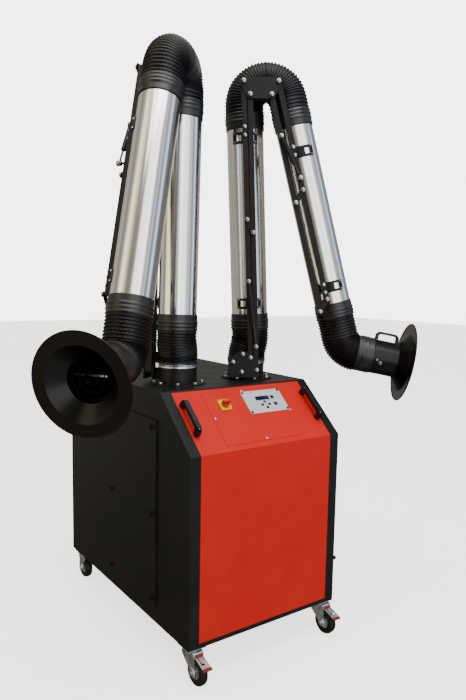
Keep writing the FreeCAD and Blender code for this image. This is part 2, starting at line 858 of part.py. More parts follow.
def make_impeller(deck):
    low = deck + UP * (S.fan_wall + S.impeller_lift)
    height = "dims.impeller_height"
    pieces = [
        cylinder("impeller_boss", "dims.impeller_hub", height, low),
        cylinder("impeller_back", "dims.impeller_radius", "dims.impeller_plate", low),
        cylinder("impeller_shaft", "dims.shaft_diameter / 2",
                 "dims.shaft_depth + dims.fan_wall + dims.impeller_lift - dims.seat_gap",
                 deck - UP * (S.shaft_depth - S.seat_gap)),
    ]
    shroud = low + UP * (S.impeller_height - S.impeller_plate)
    pieces.append(tube("impeller_shroud", "dims.impeller_radius",
                       "dims.impeller_radius - dims.impeller_ring", "dims.impeller_plate", shroud))
    for i in range(int(S.blade_count)):
        spin = Placement(low, Rotation(UP, i * 360 / S.blade_count))
        root = Placement(Vector(S.blade_inner, 0, 0), Rotation(UP, S.blade_sweep))
        blade = box("impeller_blade_%d" % i, "dims.blade_length", "dims.blade_sheet", height, Vector())
        blade.Placement = spin.multiply(root)
        pieces.append(blade)
    group("impeller", [fuse("impeller_welded", pieces)])


# Arms: shared geometry

def arm_frame(side):
    sign = -1 if side == "left" else 1
    heading = S.left_heading if side == "left" else S.right_heading
    return Placement(Vector(sign * S.arm_side, -S.arm_front, cabinet_top()), Rotation(UP, heading))


class Arm:
    """Pivots, axes and frames of one arm, in the arm's own frame."""

    def __init__(self, side):
        self.side = side
        self.frame = arm_frame(side)
        lean = S.shoulder_lean
        fore = S.left_forearm_angle if side == "left" else S.right_forearm_angle
        self.pitch = S.left_hood_pitch if side == "left" else S.right_hood_pitch
        self.up = Vector(sin(lean), 0, cos(lean))
        self.down = Vector(sin(fore), 0, -cos(fore))
        self.out = Vector(cos(fore), 0, sin(fore))
        self.ahead = Vector(cos(self.pitch), 0, -sin(self.pitch))
        link = Vector(S.link_ahead, 0, -S.link_drop)
        mirror = Vector(-S.link_ahead, 0, -S.link_drop)
        self.shoulder = Vector(S.pivot_ahead, 0, S.pivot_rise)
        self.shoulder_link = self.shoulder + link
        self.elbow_in = self.shoulder + self.up * S.lower_arm_length
        self.elbow_in_link = self.elbow_in + link
        self.elbow_out = self.elbow_in + Vector(S.elbow_span, 0, 0)
        self.elbow_out_link = self.elbow_out + mirror
        self.wrist = self.elbow_out + self.down * S.forearm_length
        self.wrist_link = self.wrist + mirror
        self.lower_mid = self.shoulder + self.up * (S.lower_arm_length * S.lower_mid_share)
        self.lower_mid_link = self.lower_mid + link
        self.fore_mid = self.elbow_out + self.down * (S.forearm_length * S.forearm_mid_share)
        self.fore_mid_link = self.fore_mid + mirror
        self.fore_top = self.elbow_out + self.out * S.forearm_tube_offset
        self.lower = Placement(self.shoulder, Rotation(Vector(0, 1, 0), lean))
        self.fore = Placement(self.fore_top, Rotation(Vector(0, 1, 0), -fore))
        self.hood_pivot = self.fore_top + self.down * S.hood_pivot_down
        self.rim = self.hood_pivot + self.ahead * S.hood_reach
        self.hood = Placement(self.rim, Rotation(Vector(0, 1, 0), self.pitch - 90))
        self.spring_ends()

    def spring_ends(self):
        self.lower_spring = (self.shoulder + self.up * S.lower_spring_bar,
                             self.shoulder_link + self.up * S.lower_spring_link)
        self.fore_spring = (self.elbow_out_link + self.down * S.forearm_spring_link,
                            self.elbow_out + self.down * S.forearm_spring_bar)

    def name(self, piece):
        return "%s_%s" % (self.side, piece)

    def keep(self, piece, solids):
        return group(self.name(piece), solids, self.frame)


PIN_SPAN = "dims.outer_plate_out + dims.link_plate - dims.inner_plate_out"
BUSH_SPAN = "dims.outer_plate_out - dims.inner_plate_out - dims.link_plate - 2 * dims.plate_play"
FORK_SPAN = "dims.eye_width + 2 * dims.plate_play + 2 * dims.fork_cheek"


def bush_out():
    return S.inner_plate_out + S.link_plate + S.plate_play


def pin(name, point):
    """A pivot bolt through both link plates, with its head outside."""
    shaft = outward(name + "_shaft", "dims.pin_radius", PIN_SPAN, point, S.inner_plate_out)
    head = outward(name + "_head", "dims.pin_head_radius", "dims.pin_head_height", point,
                   S.outer_plate_out + S.link_plate)
    return fuse(name, [shaft, head])


def plate_pair(name, points, radius, pivots):
    """Two equal link plates, one on each side of the bars, and the bolts through them."""
    holes = [(flat(point), S.pin_radius + S.running_fit) for point in pivots]
    outline = [flat(point) for point in points]
    pieces = []
    for i, lift in enumerate((S.inner_plate_out, S.outer_plate_out)):
        pieces.append(pad("%s_plate_%d" % (name, i), "XZ_Plane", hull(outline, radius), "dims.link_plate",
                          lift, holes))
    for i, point in enumerate(pivots):
        pieces.append(pin("%s_pin_%d" % (name, i), point))
    return pieces


def bar(name, ends, fits, loose=()):
    """A rectangular tube with a bush at each pivot; loose bushes close the loops of the linkage."""
    first, last = ends
    along = (last - first).normalize()
    side = Vector(along.z, 0, -along.x)
    outline = hull([flat(first), flat(last)], S.bar_width / 2)
    skin = pad(name + "_skin", "XZ_Plane", outline, "dims.bar_depth", S.bar_out)
    half = side * (S.bar_width / 2 - S.bar_wall)
    far = along * S.bar_width
    corners = [first - far + half, last + far + half, last + far - half, first - far - half]
    hollow = pad(name + "_hollow", "XZ_Plane", polygon([flat(c) for c in corners]),
                 "dims.bar_depth - 2 * dims.bar_wall", S.bar_out + S.bar_wall)
    pieces = [cut(name + "_tube", skin, [hollow])]
    bores = []
    for i, (point, play) in enumerate([(p, "running_fit") for p in fits] + [(p, "open_fit") for p in loose]):
        pieces.append(outward("%s_bush_%d" % (name, i), "dims.bush_radius", BUSH_SPAN, point, bush_out()))
        bores.append(outward("%s_bore_%d" % (name, i), "dims.pin_radius + dims." + play,
                             BUSH_SPAN + " + 2 * dims.cut_overrun", point, bush_out() - S.cut_overrun))
    return cut(name, fuse(name + "_welded", pieces), bores)


def stud(name, point, gap):
    """Ball stud on the outer face of a bar for the end of a gas spring."""
    reach = "dims.spring_out - dims.bar_out - dims.bar_depth - " + gap
    return outward(name, "dims.stud_radius", reach, point, S.bar_out + S.bar_depth)


def saddle(name, frame, low, bar_side):
    """Tube clamp: a curved windowed plate on the tube with a block up to the bar."""
    turn = Rotation(UP, -90 - S.clamp_angle / 2)
    strap = cylinder(name + "_strap", "dims.tube_diameter / 2 + dims.seat_gap + dims.clamp_sheet",
                     "dims.clamp_height", UP * low, turn, "dims.clamp_angle")
    block = box(name + "_block", "dims.clamp_block", "dims.bar_out / 2", "dims.clamp_height",
                Vector(bar_side - S.clamp_block / 2, -S.bar_out, low))
    bore = cylinder(name + "_bore", "dims.tube_diameter / 2 + dims.seat_gap",
                    "dims.clamp_height + 2 * dims.cut_overrun", UP * (low - S.cut_overrun))
    tools = [bore]
    for i, side in enumerate((-S.clamp_window_from_bar - S.clamp_window, S.clamp_window_from_bar)):
        if abs(side + S.clamp_window / 2 - bar_side) > S.clamp_window:
            corner = Vector(side, -S.bar_out, low + S.clamp_rail)
            tools.append(box("%s_window_%d" % (name, i), "dims.clamp_window", "dims.bar_out",
                             "dims.clamp_height - 2 * dims.clamp_rail", corner))
    piece = cut(name, fuse(name + "_solid", [strap, block]), tools)
    piece.Placement = frame
    return piece


def gas_spring(name, ends, body, tuck):
    """Cylinder with an eye at its first end, and the rod that slides in it."""
    first, last = ends
    away = last - first
    middle = -(S.spring_out + S.spring_radius)
    turn = Rotation(UP, Vector(away.x, 0, away.z))
    start = Vector(first.x, middle, first.z)
    along = turn.multVec(UP)
    case = cylinder(name + "_case", "dims.spring_radius", "dims." + body, start, turn)
    eye = outward(name + "_case_eye", "dims.spring_eye", "2 * dims.spring_radius", first, S.spring_out)
    bore = cylinder(name + "_case_bore", "dims.spring_rod + dims.open_fit", "dims." + body,
                    start + along * S.spring_end, turn)
    case = cut(name + "_cylinder", fuse(name + "_case_welded", [case, eye]), [bore])
    rod = cylinder(name + "_rod_bar", "dims.spring_rod", "%r - dims.%s" % (away.Length, tuck),
                   start + along * dims.get(tuck), turn)
    socket = outward(name + "_rod_eye", "dims.spring_eye", "2 * dims.spring_radius", last, S.spring_out)
    return case, fuse(name + "_rod_welded", [rod, socket])


# Arms: pieces

def make_flanges():
    """Bolted foot rings on the cabinet top, each with the neck that its arm turns on."""
    pieces = []
    for side in SIDES:
        disc = cylinder(side + "_foot_disc", "dims.flange_diameter / 2", "dims.flange_sheet")
        radius = "dims.collar_diameter / 2 - dims.collar_wall - dims.running_fit"
        height = "dims.flange_sheet + dims.neck_height"
        neck = cylinder(side + "_foot_neck", radius, height)
        bore = cylinder(side + "_foot_bore", radius + " - dims.neck_wall", height + " + 2 * dims.cut_overrun",
                        UP * -S.cut_overrun)
        holes = []
        for i in range(int(S.flange_bolts)):
            spin = Rotation(UP, (i + 0.5) * 360 / S.flange_bolts)
            at = spin.multVec(Vector(S.flange_circle / 2, 0, -S.cut_overrun))
            holes.append(cylinder("%s_foot_hole_%d" % (side, i), "dims.flange_bolt / 2",
                                  "dims.flange_sheet + 2 * dims.cut_overrun", at))
        foot = cut(side + "_foot", fuse(side + "_foot_solid", [disc, neck]), [bore] + holes)
        foot.Placement = arm_frame(side)
        pieces.append(foot)
    group("arm_flanges", pieces)


def make_collar(arm):
    """Turning collar with the two bracket plates that carry the lower arm."""
    low = UP * (S.flange_sheet + S.seat_gap)
    skin = cylinder(arm.name("collar_skin"), "dims.collar_diameter / 2",
                    "dims.collar_height - dims.flange_sheet - dims.seat_gap", low)
    block = box(arm.name("collar_block"), "dims.saddle_back + dims.saddle_ahead", "dims.inner_plate_out / 2",
                "dims.saddle_high - dims.saddle_low",
                Vector(-S.saddle_back, -S.inner_plate_out, S.saddle_low))
    bore = cylinder(arm.name("collar_bore"), "dims.collar_diameter / 2 - dims.collar_wall",
                    "dims.collar_height + 2 * dims.cut_overrun", UP * -S.cut_overrun)
    pieces = [cut(arm.name("collar_tube"), fuse(arm.name("collar_solid"), [skin, block]), [bore])]
    span = Vector(S.bracket_length, 0, 0)
    outline = [span * x + UP * (S.bracket_height * z) for x, z in BRACKET_SHARES]
    pieces += plate_pair(arm.name("bracket"), outline, S.bracket_round, [arm.shoulder, arm.shoulder_link])
    for i, (x, z) in enumerate(SPACER_SHARES):
        pieces.append(outward(arm.name("spacer_%d" % i), "dims.spacer_radius",
                              "dims.outer_plate_out - dims.inner_plate_out - dims.link_plate",
                              span * x + UP * (S.bracket_height * z), S.inner_plate_out + S.link_plate))
    arm.keep("collar", pieces)


def make_lower_arm(arm):
    duct = tube(arm.name("lower_duct"), "dims.tube_diameter / 2", "dims.tube_diameter / 2 - dims.tube_wall",
                "dims.lower_cuff_high - dims.lower_cuff_low + 2 * dims.cuff_grip",
                UP * (S.lower_cuff_low - S.cuff_grip))
    duct.Placement = arm.lower
    arm.keep("lower_tube", [duct])
    case, rod = gas_spring(arm.name("lower_spring"), arm.lower_spring,
                           "lower_spring_body", "lower_spring_tuck")
    pieces = [bar(arm.name("lower_bar_tube"), (arm.shoulder, arm.elbow_in),
                  [arm.shoulder, arm.lower_mid, arm.elbow_in])]
    pieces.append(stud(arm.name("lower_bar_stud"), arm.lower_spring[0], "0"))
    pieces.append(case)
    for i, low in enumerate((S.lower_clamp_low, S.lower_clamp_high)):
        pieces.append(saddle(arm.name("lower_clamp_%d" % i), arm.lower, low, 0.0))
    arm.keep("lower_bar", pieces)
    arm.keep("lower_gas_rod", [rod])
    link = bar(arm.name("lower_link_tube"), (arm.shoulder_link, arm.elbow_in_link), [arm.shoulder_link],
               [arm.lower_mid_link, arm.elbow_in_link])
    arm.keep("lower_link", [link, stud(arm.name("lower_link_stud"), arm.lower_spring[1], "dims.open_fit")])
    arm.keep("lower_mid_link", mid_link(arm.name("lower_mid"), arm.lower_mid, arm.lower_mid_link))


def mid_link(name, first, second):
    """Short outer plate that ties the two bars together half way along, on two bolts."""
    holes = [(flat(point), S.pin_radius + S.running_fit) for point in (first, second)]
    outline = hull([flat(first), flat(second)], S.mid_link_round)
    pieces = [pad(name + "_strip", "XZ_Plane", outline, "dims.link_plate", S.outer_plate_out, holes)]
    for i, point in enumerate((first, second)):
        pieces.append(pin("%s_pin_%d" % (name, i), point))
    return pieces


def make_elbow(arm):
    corners = [arm.elbow_in_link, arm.elbow_out_link, arm.elbow_out, arm.elbow_in]
    arm.keep("elbow_plates", plate_pair(arm.name("elbow"), corners, S.elbow_round, corners))


def make_forearm(arm):
    length = "dims.forearm_cuff_low - dims.forearm_cuff_high + 2 * dims.cuff_grip"
    foot = UP * -(S.forearm_cuff_low + S.cuff_grip)
    duct = tube(arm.name("forearm_duct"), "dims.tube_diameter / 2",
                "dims.tube_diameter / 2 - dims.tube_wall", length, foot)
    duct.Placement = arm.fore
    stay = hood_stay(arm, foot)
    arm.keep("forearm_tube", [duct, stay])
    case, rod = gas_spring(arm.name("forearm_spring"), arm.fore_spring,
                           "forearm_spring_body", "forearm_spring_tuck")
    pieces = [bar(arm.name("forearm_bar_tube"), (arm.elbow_out, arm.wrist),
                  [arm.elbow_out, arm.fore_mid, arm.wrist])]
    pieces.append(stud(arm.name("forearm_bar_stud"), arm.fore_spring[1], "dims.open_fit"))
    for i, low in enumerate((S.forearm_clamp_high, S.forearm_clamp_low)):
        pieces.append(saddle(arm.name("forearm_clamp_%d" % i), arm.fore, -low - S.clamp_height,
                             -S.forearm_tube_offset))
    arm.keep("forearm_bar", pieces)
    link = bar(arm.name("forearm_link_tube"), (arm.elbow_out_link, arm.wrist_link), [arm.elbow_out_link],
               [arm.fore_mid_link, arm.wrist_link])
    arm.keep("forearm_link", [link, stud(arm.name("forearm_link_stud"), arm.fore_spring[0], "0"), case])
    arm.keep("forearm_gas_rod", [rod])
    arm.keep("forearm_mid_link", mid_link(arm.name("forearm_mid"), arm.fore_mid, arm.fore_mid_link))
    ends = [arm.wrist_link, arm.wrist]
    arm.keep("end_link", plate_pair(arm.name("end"), ends, S.mid_link_round, ends))


def hood_stay(arm, foot):
    """Strap across the end of the forearm tube, a stem down the hose and a fork for the hood's eye."""
    name = arm.name("hood_stay")
    half = "dims.tube_diameter / 2 - dims.tube_wall - dims.seat_gap"
    corner = foot - Vector(S.stay_strap_sheet / 2, S.tube_diameter / 2 - S.tube_wall - S.seat_gap, 0)
    strap = box(name + "_strap", "dims.stay_strap_sheet", "2 * (%s)" % half, "dims.stay_strap", corner)
    round_end = doc.addObject("Part::MultiCommon", name + "_strap_round")
    round_end.Shapes = [strap, cylinder(name + "_strap_bore", half, "dims.stay_strap", foot)]
    pivot = UP * -S.hood_pivot_down
    reach = "dims.hood_pivot_down - dims.forearm_cuff_low - dims.cuff_grip - dims.eye_clear + dims.stay_strap"
    stem = cylinder(name + "_stem", "dims.stay_radius", reach, pivot + UP * S.eye_clear)
    piece = fuse(name, [round_end, stem] + stay_fork(name, pivot))
    piece.Placement = arm.fore
    return piece


def stay_fork(name, pivot):
    """Two cheeks, one on each side of the hood's eye, and the bridge that joins them."""
    near = S.eye_width / 2 + S.plate_play
    outline = hull([flat(pivot), flat(pivot + UP * S.eye_clear)], S.eye_radius)
    hole = [(flat(pivot), S.hood_pin_radius + S.running_fit)]
    pieces = []
    for i, out in enumerate((-near - S.fork_cheek, near)):
        pieces.append(pad("%s_cheek_%d" % (name, i), "XZ_Plane", outline, "dims.fork_cheek", out, hole))
    corner = pivot + Vector(-S.stay_radius, -near - S.fork_cheek, S.eye_clear - S.stay_radius / 2)
    pieces.append(box(name + "_bridge", "2 * dims.stay_radius", FORK_SPAN, "dims.stay_radius", corner))
    return pieces


# Arms: hoses

def heading_of(step):
    return math.degrees(math.atan2(step.x, step.z))


def ahead(heading):
    return Vector(sin(heading), 0, cos(heading))


def right(heading):
    return Vector(cos(heading), 0, -sin(heading))


def trace(points, reaches):
    """Runs and bends along a bent line: each corner is rounded over its own reach."""
    pieces = []
    reaches = [0.0] + list(reaches) + [0.0]
    for i in range(len(points) - 1):
        step = points[i + 1] - points[i]
        pieces.append((step.Length - reaches[i] - reaches[i + 1], 0.0))
        if i + 2 < len(points):
            turn = heading_of(points[i + 2] - points[i + 1]) - heading_of(step)
            turn = (turn + 180) % 360 - 180
            radius = reaches[i + 1] / math.tan(math.radians(abs(turn) / 2))
            pieces.append((radius * math.radians(abs(turn)), turn))
    return points[0], heading_of(points[1] - points[0]), pieces


def station(path, distance):
    """Point and heading at a distance along a traced path."""
    point, heading, pieces = path
    for index, (length, turn) in enumerate(pieces):
        last = index == len(pieces) - 1
        step = distance if last else min(distance, length)
        if turn:
            radius = length / math.radians(turn)
            hub = point + right(heading) * radius
            heading = heading + math.degrees(step / radius)
            point = hub - right(heading) * radius
        else:
            point = point + ahead(heading) * step
        distance -= step
        if distance <= 0 and not last:
            break
    return point, heading


def ring(path, distance, radius):
    """Circle square to the path, with its X axis held square to the plane of the bends."""
    centre, heading = station(path, distance)
    along, across = ahead(heading), OUT
    side = along.cross(across)
    edge = Part.Circle(Vector(), UP, radius).toShape()
    edge.Placement = Placement(FreeCAD.Matrix(
        across.x, side.x, along.x, centre.x,
        across.y, side.y, along.y, centre.y,
        across.z, side.z, along.z, centre.z,
        0, 0, 0, 1))
    return Part.Wire([edge])


def make_hose(arm, piece, path, ribs, cuffs, radii):
    """Ribbed hose with a plain cuff at each end, bored to slip over the tubes that it joins."""
    total = sum(length for length, turn in path[2])
    first, last = cuffs[0], total - cuffs[1]
    skin = [ring(path, 0, radii[0] + S.cuff_sheet), ring(path, first, radii[0] + S.cuff_sheet)]
    pitch = (last - first) / ribs
    for i in range(int(ribs)):
        for share, radius in zip(RIB_SHARES, (S.rib_valley, S.rib_crest, S.rib_crest, S.rib_valley)):
            skin.append(ring(path, first + (i + share) * pitch, radius))
    skin += [ring(path, last, radii[1] + S.cuff_sheet), ring(path, total, radii[1] + S.cuff_sheet)]
    bore = [ring(path, -S.cut_overrun, radii[0]), ring(path, first - S.bore_step, radii[0])]
    count = int(ribs)
    bore += [ring(path, first + (last - first) * i / count, S.hose_bore) for i in range(count + 1)]
    bore += [ring(path, last + S.bore_step, radii[1]), ring(path, total + S.cut_overrun, radii[1])]
    hose = doc.addObject("Part::Feature", arm.name(piece) + "_skin")
    hose.Shape = Part.makeLoft(skin, True, True).cut(Part.makeLoft(bore, True, True))
    arm.keep(piece, [hose])


def make_hoses(arm):
    grip = S.tube_diameter / 2 + S.seat_gap
    collar = S.collar_diameter / 2 + S.seat_gap
    duct = S.duct_diameter / 2 + S.seat_gap
    low = UP * (S.collar_height - S.collar_cuff)
    points = [low, UP * S.base_corner_low, arm.shoulder + arm.up * S.base_corner_high,
              arm.shoulder + arm.up * S.lower_cuff_low]
    make_hose(arm, "base_hose", trace(points, [S.base_corner_reach] * 2), S.base_hose_ribs,
              (S.collar_cuff + S.bore_step, S.cuff_length), (collar, grip))
    make_hose(arm, "elbow_hose", elbow_path(arm), S.elbow_hose_ribs,
              (S.cuff_length, S.cuff_length), (grip, grip))
    bend = heading_of(arm.ahead) - heading_of(arm.down)
    reach = S.hood_bend_radius * math.tan(math.radians(abs(bend) / 2))
    points = [arm.fore_top + arm.down * S.forearm_cuff_low, arm.hood_pivot,
              arm.rim - arm.ahead * (S.cone_length + S.duct_length)]
    make_hose(arm, "hood_hose", trace(points, [reach]), S.hood_hose_ribs,
              (S.cuff_length, S.duct_grip + S.bore_step), (grip, duct))


def elbow_path(arm):
    """Up the lower tube's axis, over a round crown and down the forearm tube's axis."""
    start = arm.shoulder + arm.up * S.lower_cuff_high
    end = arm.fore_top + arm.down * S.forearm_cuff_high
    crown = arm.shoulder + arm.up * S.elbow_crown
    half = (heading_of(arm.down) - heading_of(arm.up)) / 2
    level = ahead(heading_of(arm.up) + half)
    gap = arm.fore_top - crown
    turn = level.x * arm.down.z - level.z * arm.down.x
    span = (gap.x * arm.down.z - gap.z * arm.down.x) / turn
    return trace([start, crown, crown + level * span, end], [span / 2, span / 2])


# Arms: hoods

def make_hood(arm):
    """Spun hood: a wide flat rim, a short cone and the duct, with a strap and eye for its pivot."""
    duct, rim, mouth = S.duct_diameter / 2, S.rim_diameter / 2, S.mouth_diameter / 2
    top = S.cone_length + S.duct_length + S.duct_grip
    wall = S.duct_wall
    section = [(duct - wall, top), (duct - wall, S.cone_length), (mouth, 0), (rim, 0), (rim, S.rim_sheet),
               (mouth + wall, S.rim_sheet), (duct, S.cone_length + wall), (duct, top)]
    shell = turned(arm.name("hood_shell"), section)
    strap = box(arm.name("hood_strap"), "dims.stay_strap_sheet", "dims.duct_diameter - 2 * dims.duct_wall",
                "dims.stay_strap", Vector(-S.stay_strap_sheet / 2, wall - duct, top - S.stay_strap))
    clip = doc.addObject("Part::MultiCommon", arm.name("hood_strap_round"))
    foot = UP * (top - S.stay_strap)
    clip.Shapes = [strap, cylinder(arm.name("hood_strap_bore"), "(dims.duct_diameter - dims.duct_wall) / 2",
                                   "dims.stay_strap", foot)]
    reach = "dims.hood_reach - dims.eye_clear + dims.stay_strap"
    reach += " - dims.cone_length - dims.duct_length - dims.duct_grip"
    stem = cylinder(arm.name("hood_stem"), "dims.stay_radius", reach, foot)
    pivot = UP * S.hood_reach
    outline = hull([flat(pivot), flat(pivot - UP * S.eye_clear)], S.eye_radius)
    eye = pad(arm.name("hood_eye"), "XZ_Plane", outline, "dims.eye_width", -S.eye_width / 2)
    axle = outward(arm.name("hood_pin"), "dims.hood_pin_radius", FORK_SPAN, pivot,
                   -S.eye_width / 2 - S.plate_play - S.fork_cheek)
    body = fuse(arm.name("hood_welded"), [shell, clip, stem, eye, axle])
    body.Placement = arm.hood
    arm.keep("hood", [body])
    make_grip(arm)
    make_guard(arm)


def make_grip(arm):
    """Bow handle on top of the hood's duct."""
    base = S.duct_diameter / 2 + S.seat_gap
    far = S.cone_length + S.duct_length - S.grip_ahead
    near, top = far - S.grip_length, base + S.grip_height
    wire, slant = S.grip_bar, S.grip_slant
    outline = [
        (base, near), (top - slant, near), (top, near + slant),
        (top, far - slant), (top - slant, far), (base, far),
        (base, far - wire - slant), (base + wire, far - wire), (top - wire, far - wire - slant),
        (top - wire, near + wire + slant), (base + wire, near + wire), (base, near + wire + slant),
    ]
    curves = polygon([Vector(x, z, 0) for x, z in outline])
    bow = pad(arm.name("grip_bow"), "XZ_Plane", curves, "dims.grip_width", -S.grip_width / 2)
    bow.Placement = arm.hood
    arm.keep("hood_handle", [bow])


def make_guard(arm):
    """Wire guard across the throat: rings on spokes that reach the duct wall."""
    low = UP * (S.cone_length + S.guard_depth)
    reach = "(dims.duct_diameter / 2 - dims.duct_wall - dims.seat_gap)"
    pieces = []
    for i in range(int(S.guard_rings)):
        torus = doc.addObject("Part::Torus", arm.name("guard_ring_%d" % i))
        radius = "%s * %d / dims.guard_rings - dims.guard_wire" % (reach, i + 1)
        bind(torus, Radius1=radius, Radius2="dims.guard_wire")
        torus.Placement = Placement(low, Rotation())
        pieces.append(torus)
    for i in range(int(S.guard_spokes)):
        spin = Rotation(UP, i * 360 / S.guard_spokes).multiply(Rotation(Vector(0, 1, 0), 90))
        pieces.append(cylinder(arm.name("guard_spoke_%d" % i), "dims.guard_wire", reach, low, spin))
    body = fuse(arm.name("guard_welded"), pieces)
    body.Placement = arm.hood
    arm.keep("hood_guard", [body])


# Build, check and write

def build():
    make_cabinet()
    make_front_panel()
    make_service_panel()
    make_controls()
    make_casters()
    make_filter()
    make_fan()
    make_flanges()
    for side in SIDES:
        arm = Arm(side)
        make_collar(arm)
        make_lower_arm(arm)
        make_elbow(arm)
        make_forearm(arm)
        make_hoses(arm)
        make_hood(arm)
    doc.recompute()


def write():
    os.makedirs("parts", exist_ok=True)
    for item in doc.Objects:
        if "Invalid" in item.State or "Error" in item.State:
            raise RuntimeError("%s is not well made: %s" % (item.Name, item.State))
    for label, item in nodes.items():
        if item.Shape.isNull() or not item.Shape.isValid():
            raise RuntimeError("%s has no valid shape" % label)
        item.Shape.exportStep("parts/%s.step" % label)
    print("wrote %d sub-parts" % len(nodes))


build()
write()
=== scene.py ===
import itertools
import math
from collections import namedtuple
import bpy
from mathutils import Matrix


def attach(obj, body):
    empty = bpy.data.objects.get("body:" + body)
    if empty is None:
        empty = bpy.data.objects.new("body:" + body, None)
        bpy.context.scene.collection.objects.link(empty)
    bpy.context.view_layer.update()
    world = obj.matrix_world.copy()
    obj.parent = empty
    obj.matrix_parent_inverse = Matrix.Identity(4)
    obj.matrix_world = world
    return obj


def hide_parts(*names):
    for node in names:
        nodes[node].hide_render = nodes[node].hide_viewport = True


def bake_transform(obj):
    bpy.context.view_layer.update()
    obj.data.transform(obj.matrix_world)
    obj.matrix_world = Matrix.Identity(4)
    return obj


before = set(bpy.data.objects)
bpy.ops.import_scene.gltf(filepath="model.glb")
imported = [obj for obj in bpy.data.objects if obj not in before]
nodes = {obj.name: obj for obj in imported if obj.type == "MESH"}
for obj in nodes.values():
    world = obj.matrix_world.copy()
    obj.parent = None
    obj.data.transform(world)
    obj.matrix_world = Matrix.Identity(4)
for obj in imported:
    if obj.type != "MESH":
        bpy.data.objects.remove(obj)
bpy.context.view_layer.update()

# %% [markdown]
# This lesson dresses a mobile welding fume extractor: a wheeled filter cabinet of folded, powder coated
# sheet, with two balanced arms of bare aluminium tube and black ribbed hose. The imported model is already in
# place, in metres, with its joints. Here it gets a camera, light, finishes, and the small parts that a
# drawing office leaves to the workshop: bolts, hose clamps, keys, screws and rolled edges. Sizes below are
# in millimetres, and MM turns them into metres.

# %% Values that the whole lesson uses
from types import SimpleNamespace

import bmesh
import bpy
from mathutils import Matrix, Vector

MM = 0.001
UP = Vector((0, 0, 1))

# %% [markdown]
# The photograph was solved as a perspective view, so the camera is set from four things: where it stands,
# which way it looks, how far it is rolled, and its focal length. The image is taller than wide, and Blender
# measures the 36 mm sensor along the longer side. A small shift of the lens stands for the cropped picture.

# %% Camera
AZIMUTH, ELEVATION, ROLL = (math.radians(a) for a in (-35.467, 6.546, 1.043))
EYE = Vector((-1444.5, -2311.05, 1409.14)) * MM
FOCAL_PX, TALL_PX, SHIFT_PX, SENSOR = 635.905, 700, (0.343, 7.106), 36

back = Vector((math.sin(AZIMUTH) * math.cos(ELEVATION), -math.cos(AZIMUTH) * math.cos(ELEVATION),
               math.sin(ELEVATION)))
level = Vector((math.cos(AZIMUTH), math.sin(AZIMUTH), 0))
upright = back.cross(level)
across = level * math.cos(ROLL) + upright * math.sin(ROLL)
above = upright * math.cos(ROLL) - level * math.sin(ROLL)

lens = bpy.data.cameras.new("photo_lens")
lens.lens = FOCAL_PX * SENSOR / TALL_PX
lens.shift_x, lens.shift_y = [shift / TALL_PX for shift in SHIFT_PX]
camera = bpy.data.objects.new("photo_camera", lens)
bpy.context.collection.objects.link(camera)
camera.matrix_world = Matrix.Translation(EYE) @ Matrix((across, above, back)).transposed().to_4x4()
bpy.context.scene.camera = camera
print("camera", round(lens.lens, 2), "mm at", [round(c, 3) for c in EYE])

# %% [markdown]
# Every finish below is a small node tree. One function adds a node with its settings, its fixed values and
# its links, so each tree reads as a short list. Patterns use object coordinates, which are metres here, so a
# scale is one over the real size of the grain. A drawn or extruded grain is the same pattern, stretched along
# the piece.

# %% Node and material helpers
LENGTHWISE = 0.004


def srgb(code):
    """An sRGB hex value such as #AA3020 as the linear colour that shaders use."""
    parts = [int(code[i:i + 2], 16) / 255 for i in (1, 3, 5)]
    return [c / 12.92 if c <= 0.04045 else ((c + 0.055) / 1.055) ** 2.4 for c in parts] + [1.0]


def add(tree, kind, links=None, values=None, **settings):
    item = tree.nodes.new("ShaderNode" + kind)
    for key, value in settings.items():
        setattr(item, key, value)
    for key, value in (values or {}).items():
        item.inputs[key].default_value = value
    for key, source in (links or {}).items():
        tree.links.new(source, item.inputs[key])
    return item


def per_mm(size):
    return 1 / (size * MM)


def worn(name, tones, grain, rough, bump=(0.05, 0.03), band=60, along=None, index=1.5, shine=0.5,
         **values):
    """A material with two tones and two roughnesses from a broad pattern, and a bump from a fine grain.

    The broad pattern is band times as large as the grain. Along is a frame whose Z axis the grain follows.
    Index is that of refraction. The other values go on the shader's own sockets.
    """
    finish = bpy.data.materials.new(name)
    finish.use_nodes = True
    tree = finish.node_tree
    shader = tree.nodes["Principled BSDF"]
    for key, value in {"IOR": index, "Specular_IOR_Level": shine, **values}.items():
        shader.inputs[key.replace("_", " ")].default_value = value
    place = add(tree, "TexCoord").outputs["Object"]
    if along:
        seat = {"Location": along.to_translation(), "Rotation": along.to_euler()}
        place = add(tree, "Mapping", {"Vector": place}, seat, vector_type="TEXTURE").outputs["Vector"]
        place = add(tree, "Mapping", {"Vector": place}, {"Scale": (1, 1, LENGTHWISE)}).outputs["Vector"]
    fine = add(tree, "TexNoise", {"Vector": place}, {"Scale": per_mm(grain), "Detail": 3.0})
    broad = add(tree, "TexNoise", {"Vector": place}, {"Scale": per_mm(grain * band), "Detail": 4.0})
    limits = {"From Min": 0.3, "From Max": 0.7}
    spread = add(tree, "MapRange", {"Value": broad.outputs["Fac"]}, limits)
    tone = add(tree, "MixRGB", {"Fac": spread.outputs["Result"]},
               {"Color1": srgb(tones[0]), "Color2": srgb(tones[1])})
    tree.links.new(tone.outputs["Color"], shader.inputs["Base Color"])
    sheen = add(tree, "MapRange", {"Value": broad.outputs["Fac"]},
                {**limits, "To Min": rough[0], "To Max": rough[1]})
    tree.links.new(sheen.outputs["Result"], shader.inputs["Roughness"])
    relief = add(tree, "Bump", {"Height": fine.outputs["Fac"]},
                 {"Strength": bump[0], "Distance": bump[1] * MM})
    tree.links.new(relief.outputs["Normal"], shader.inputs["Normal"])
    return finish


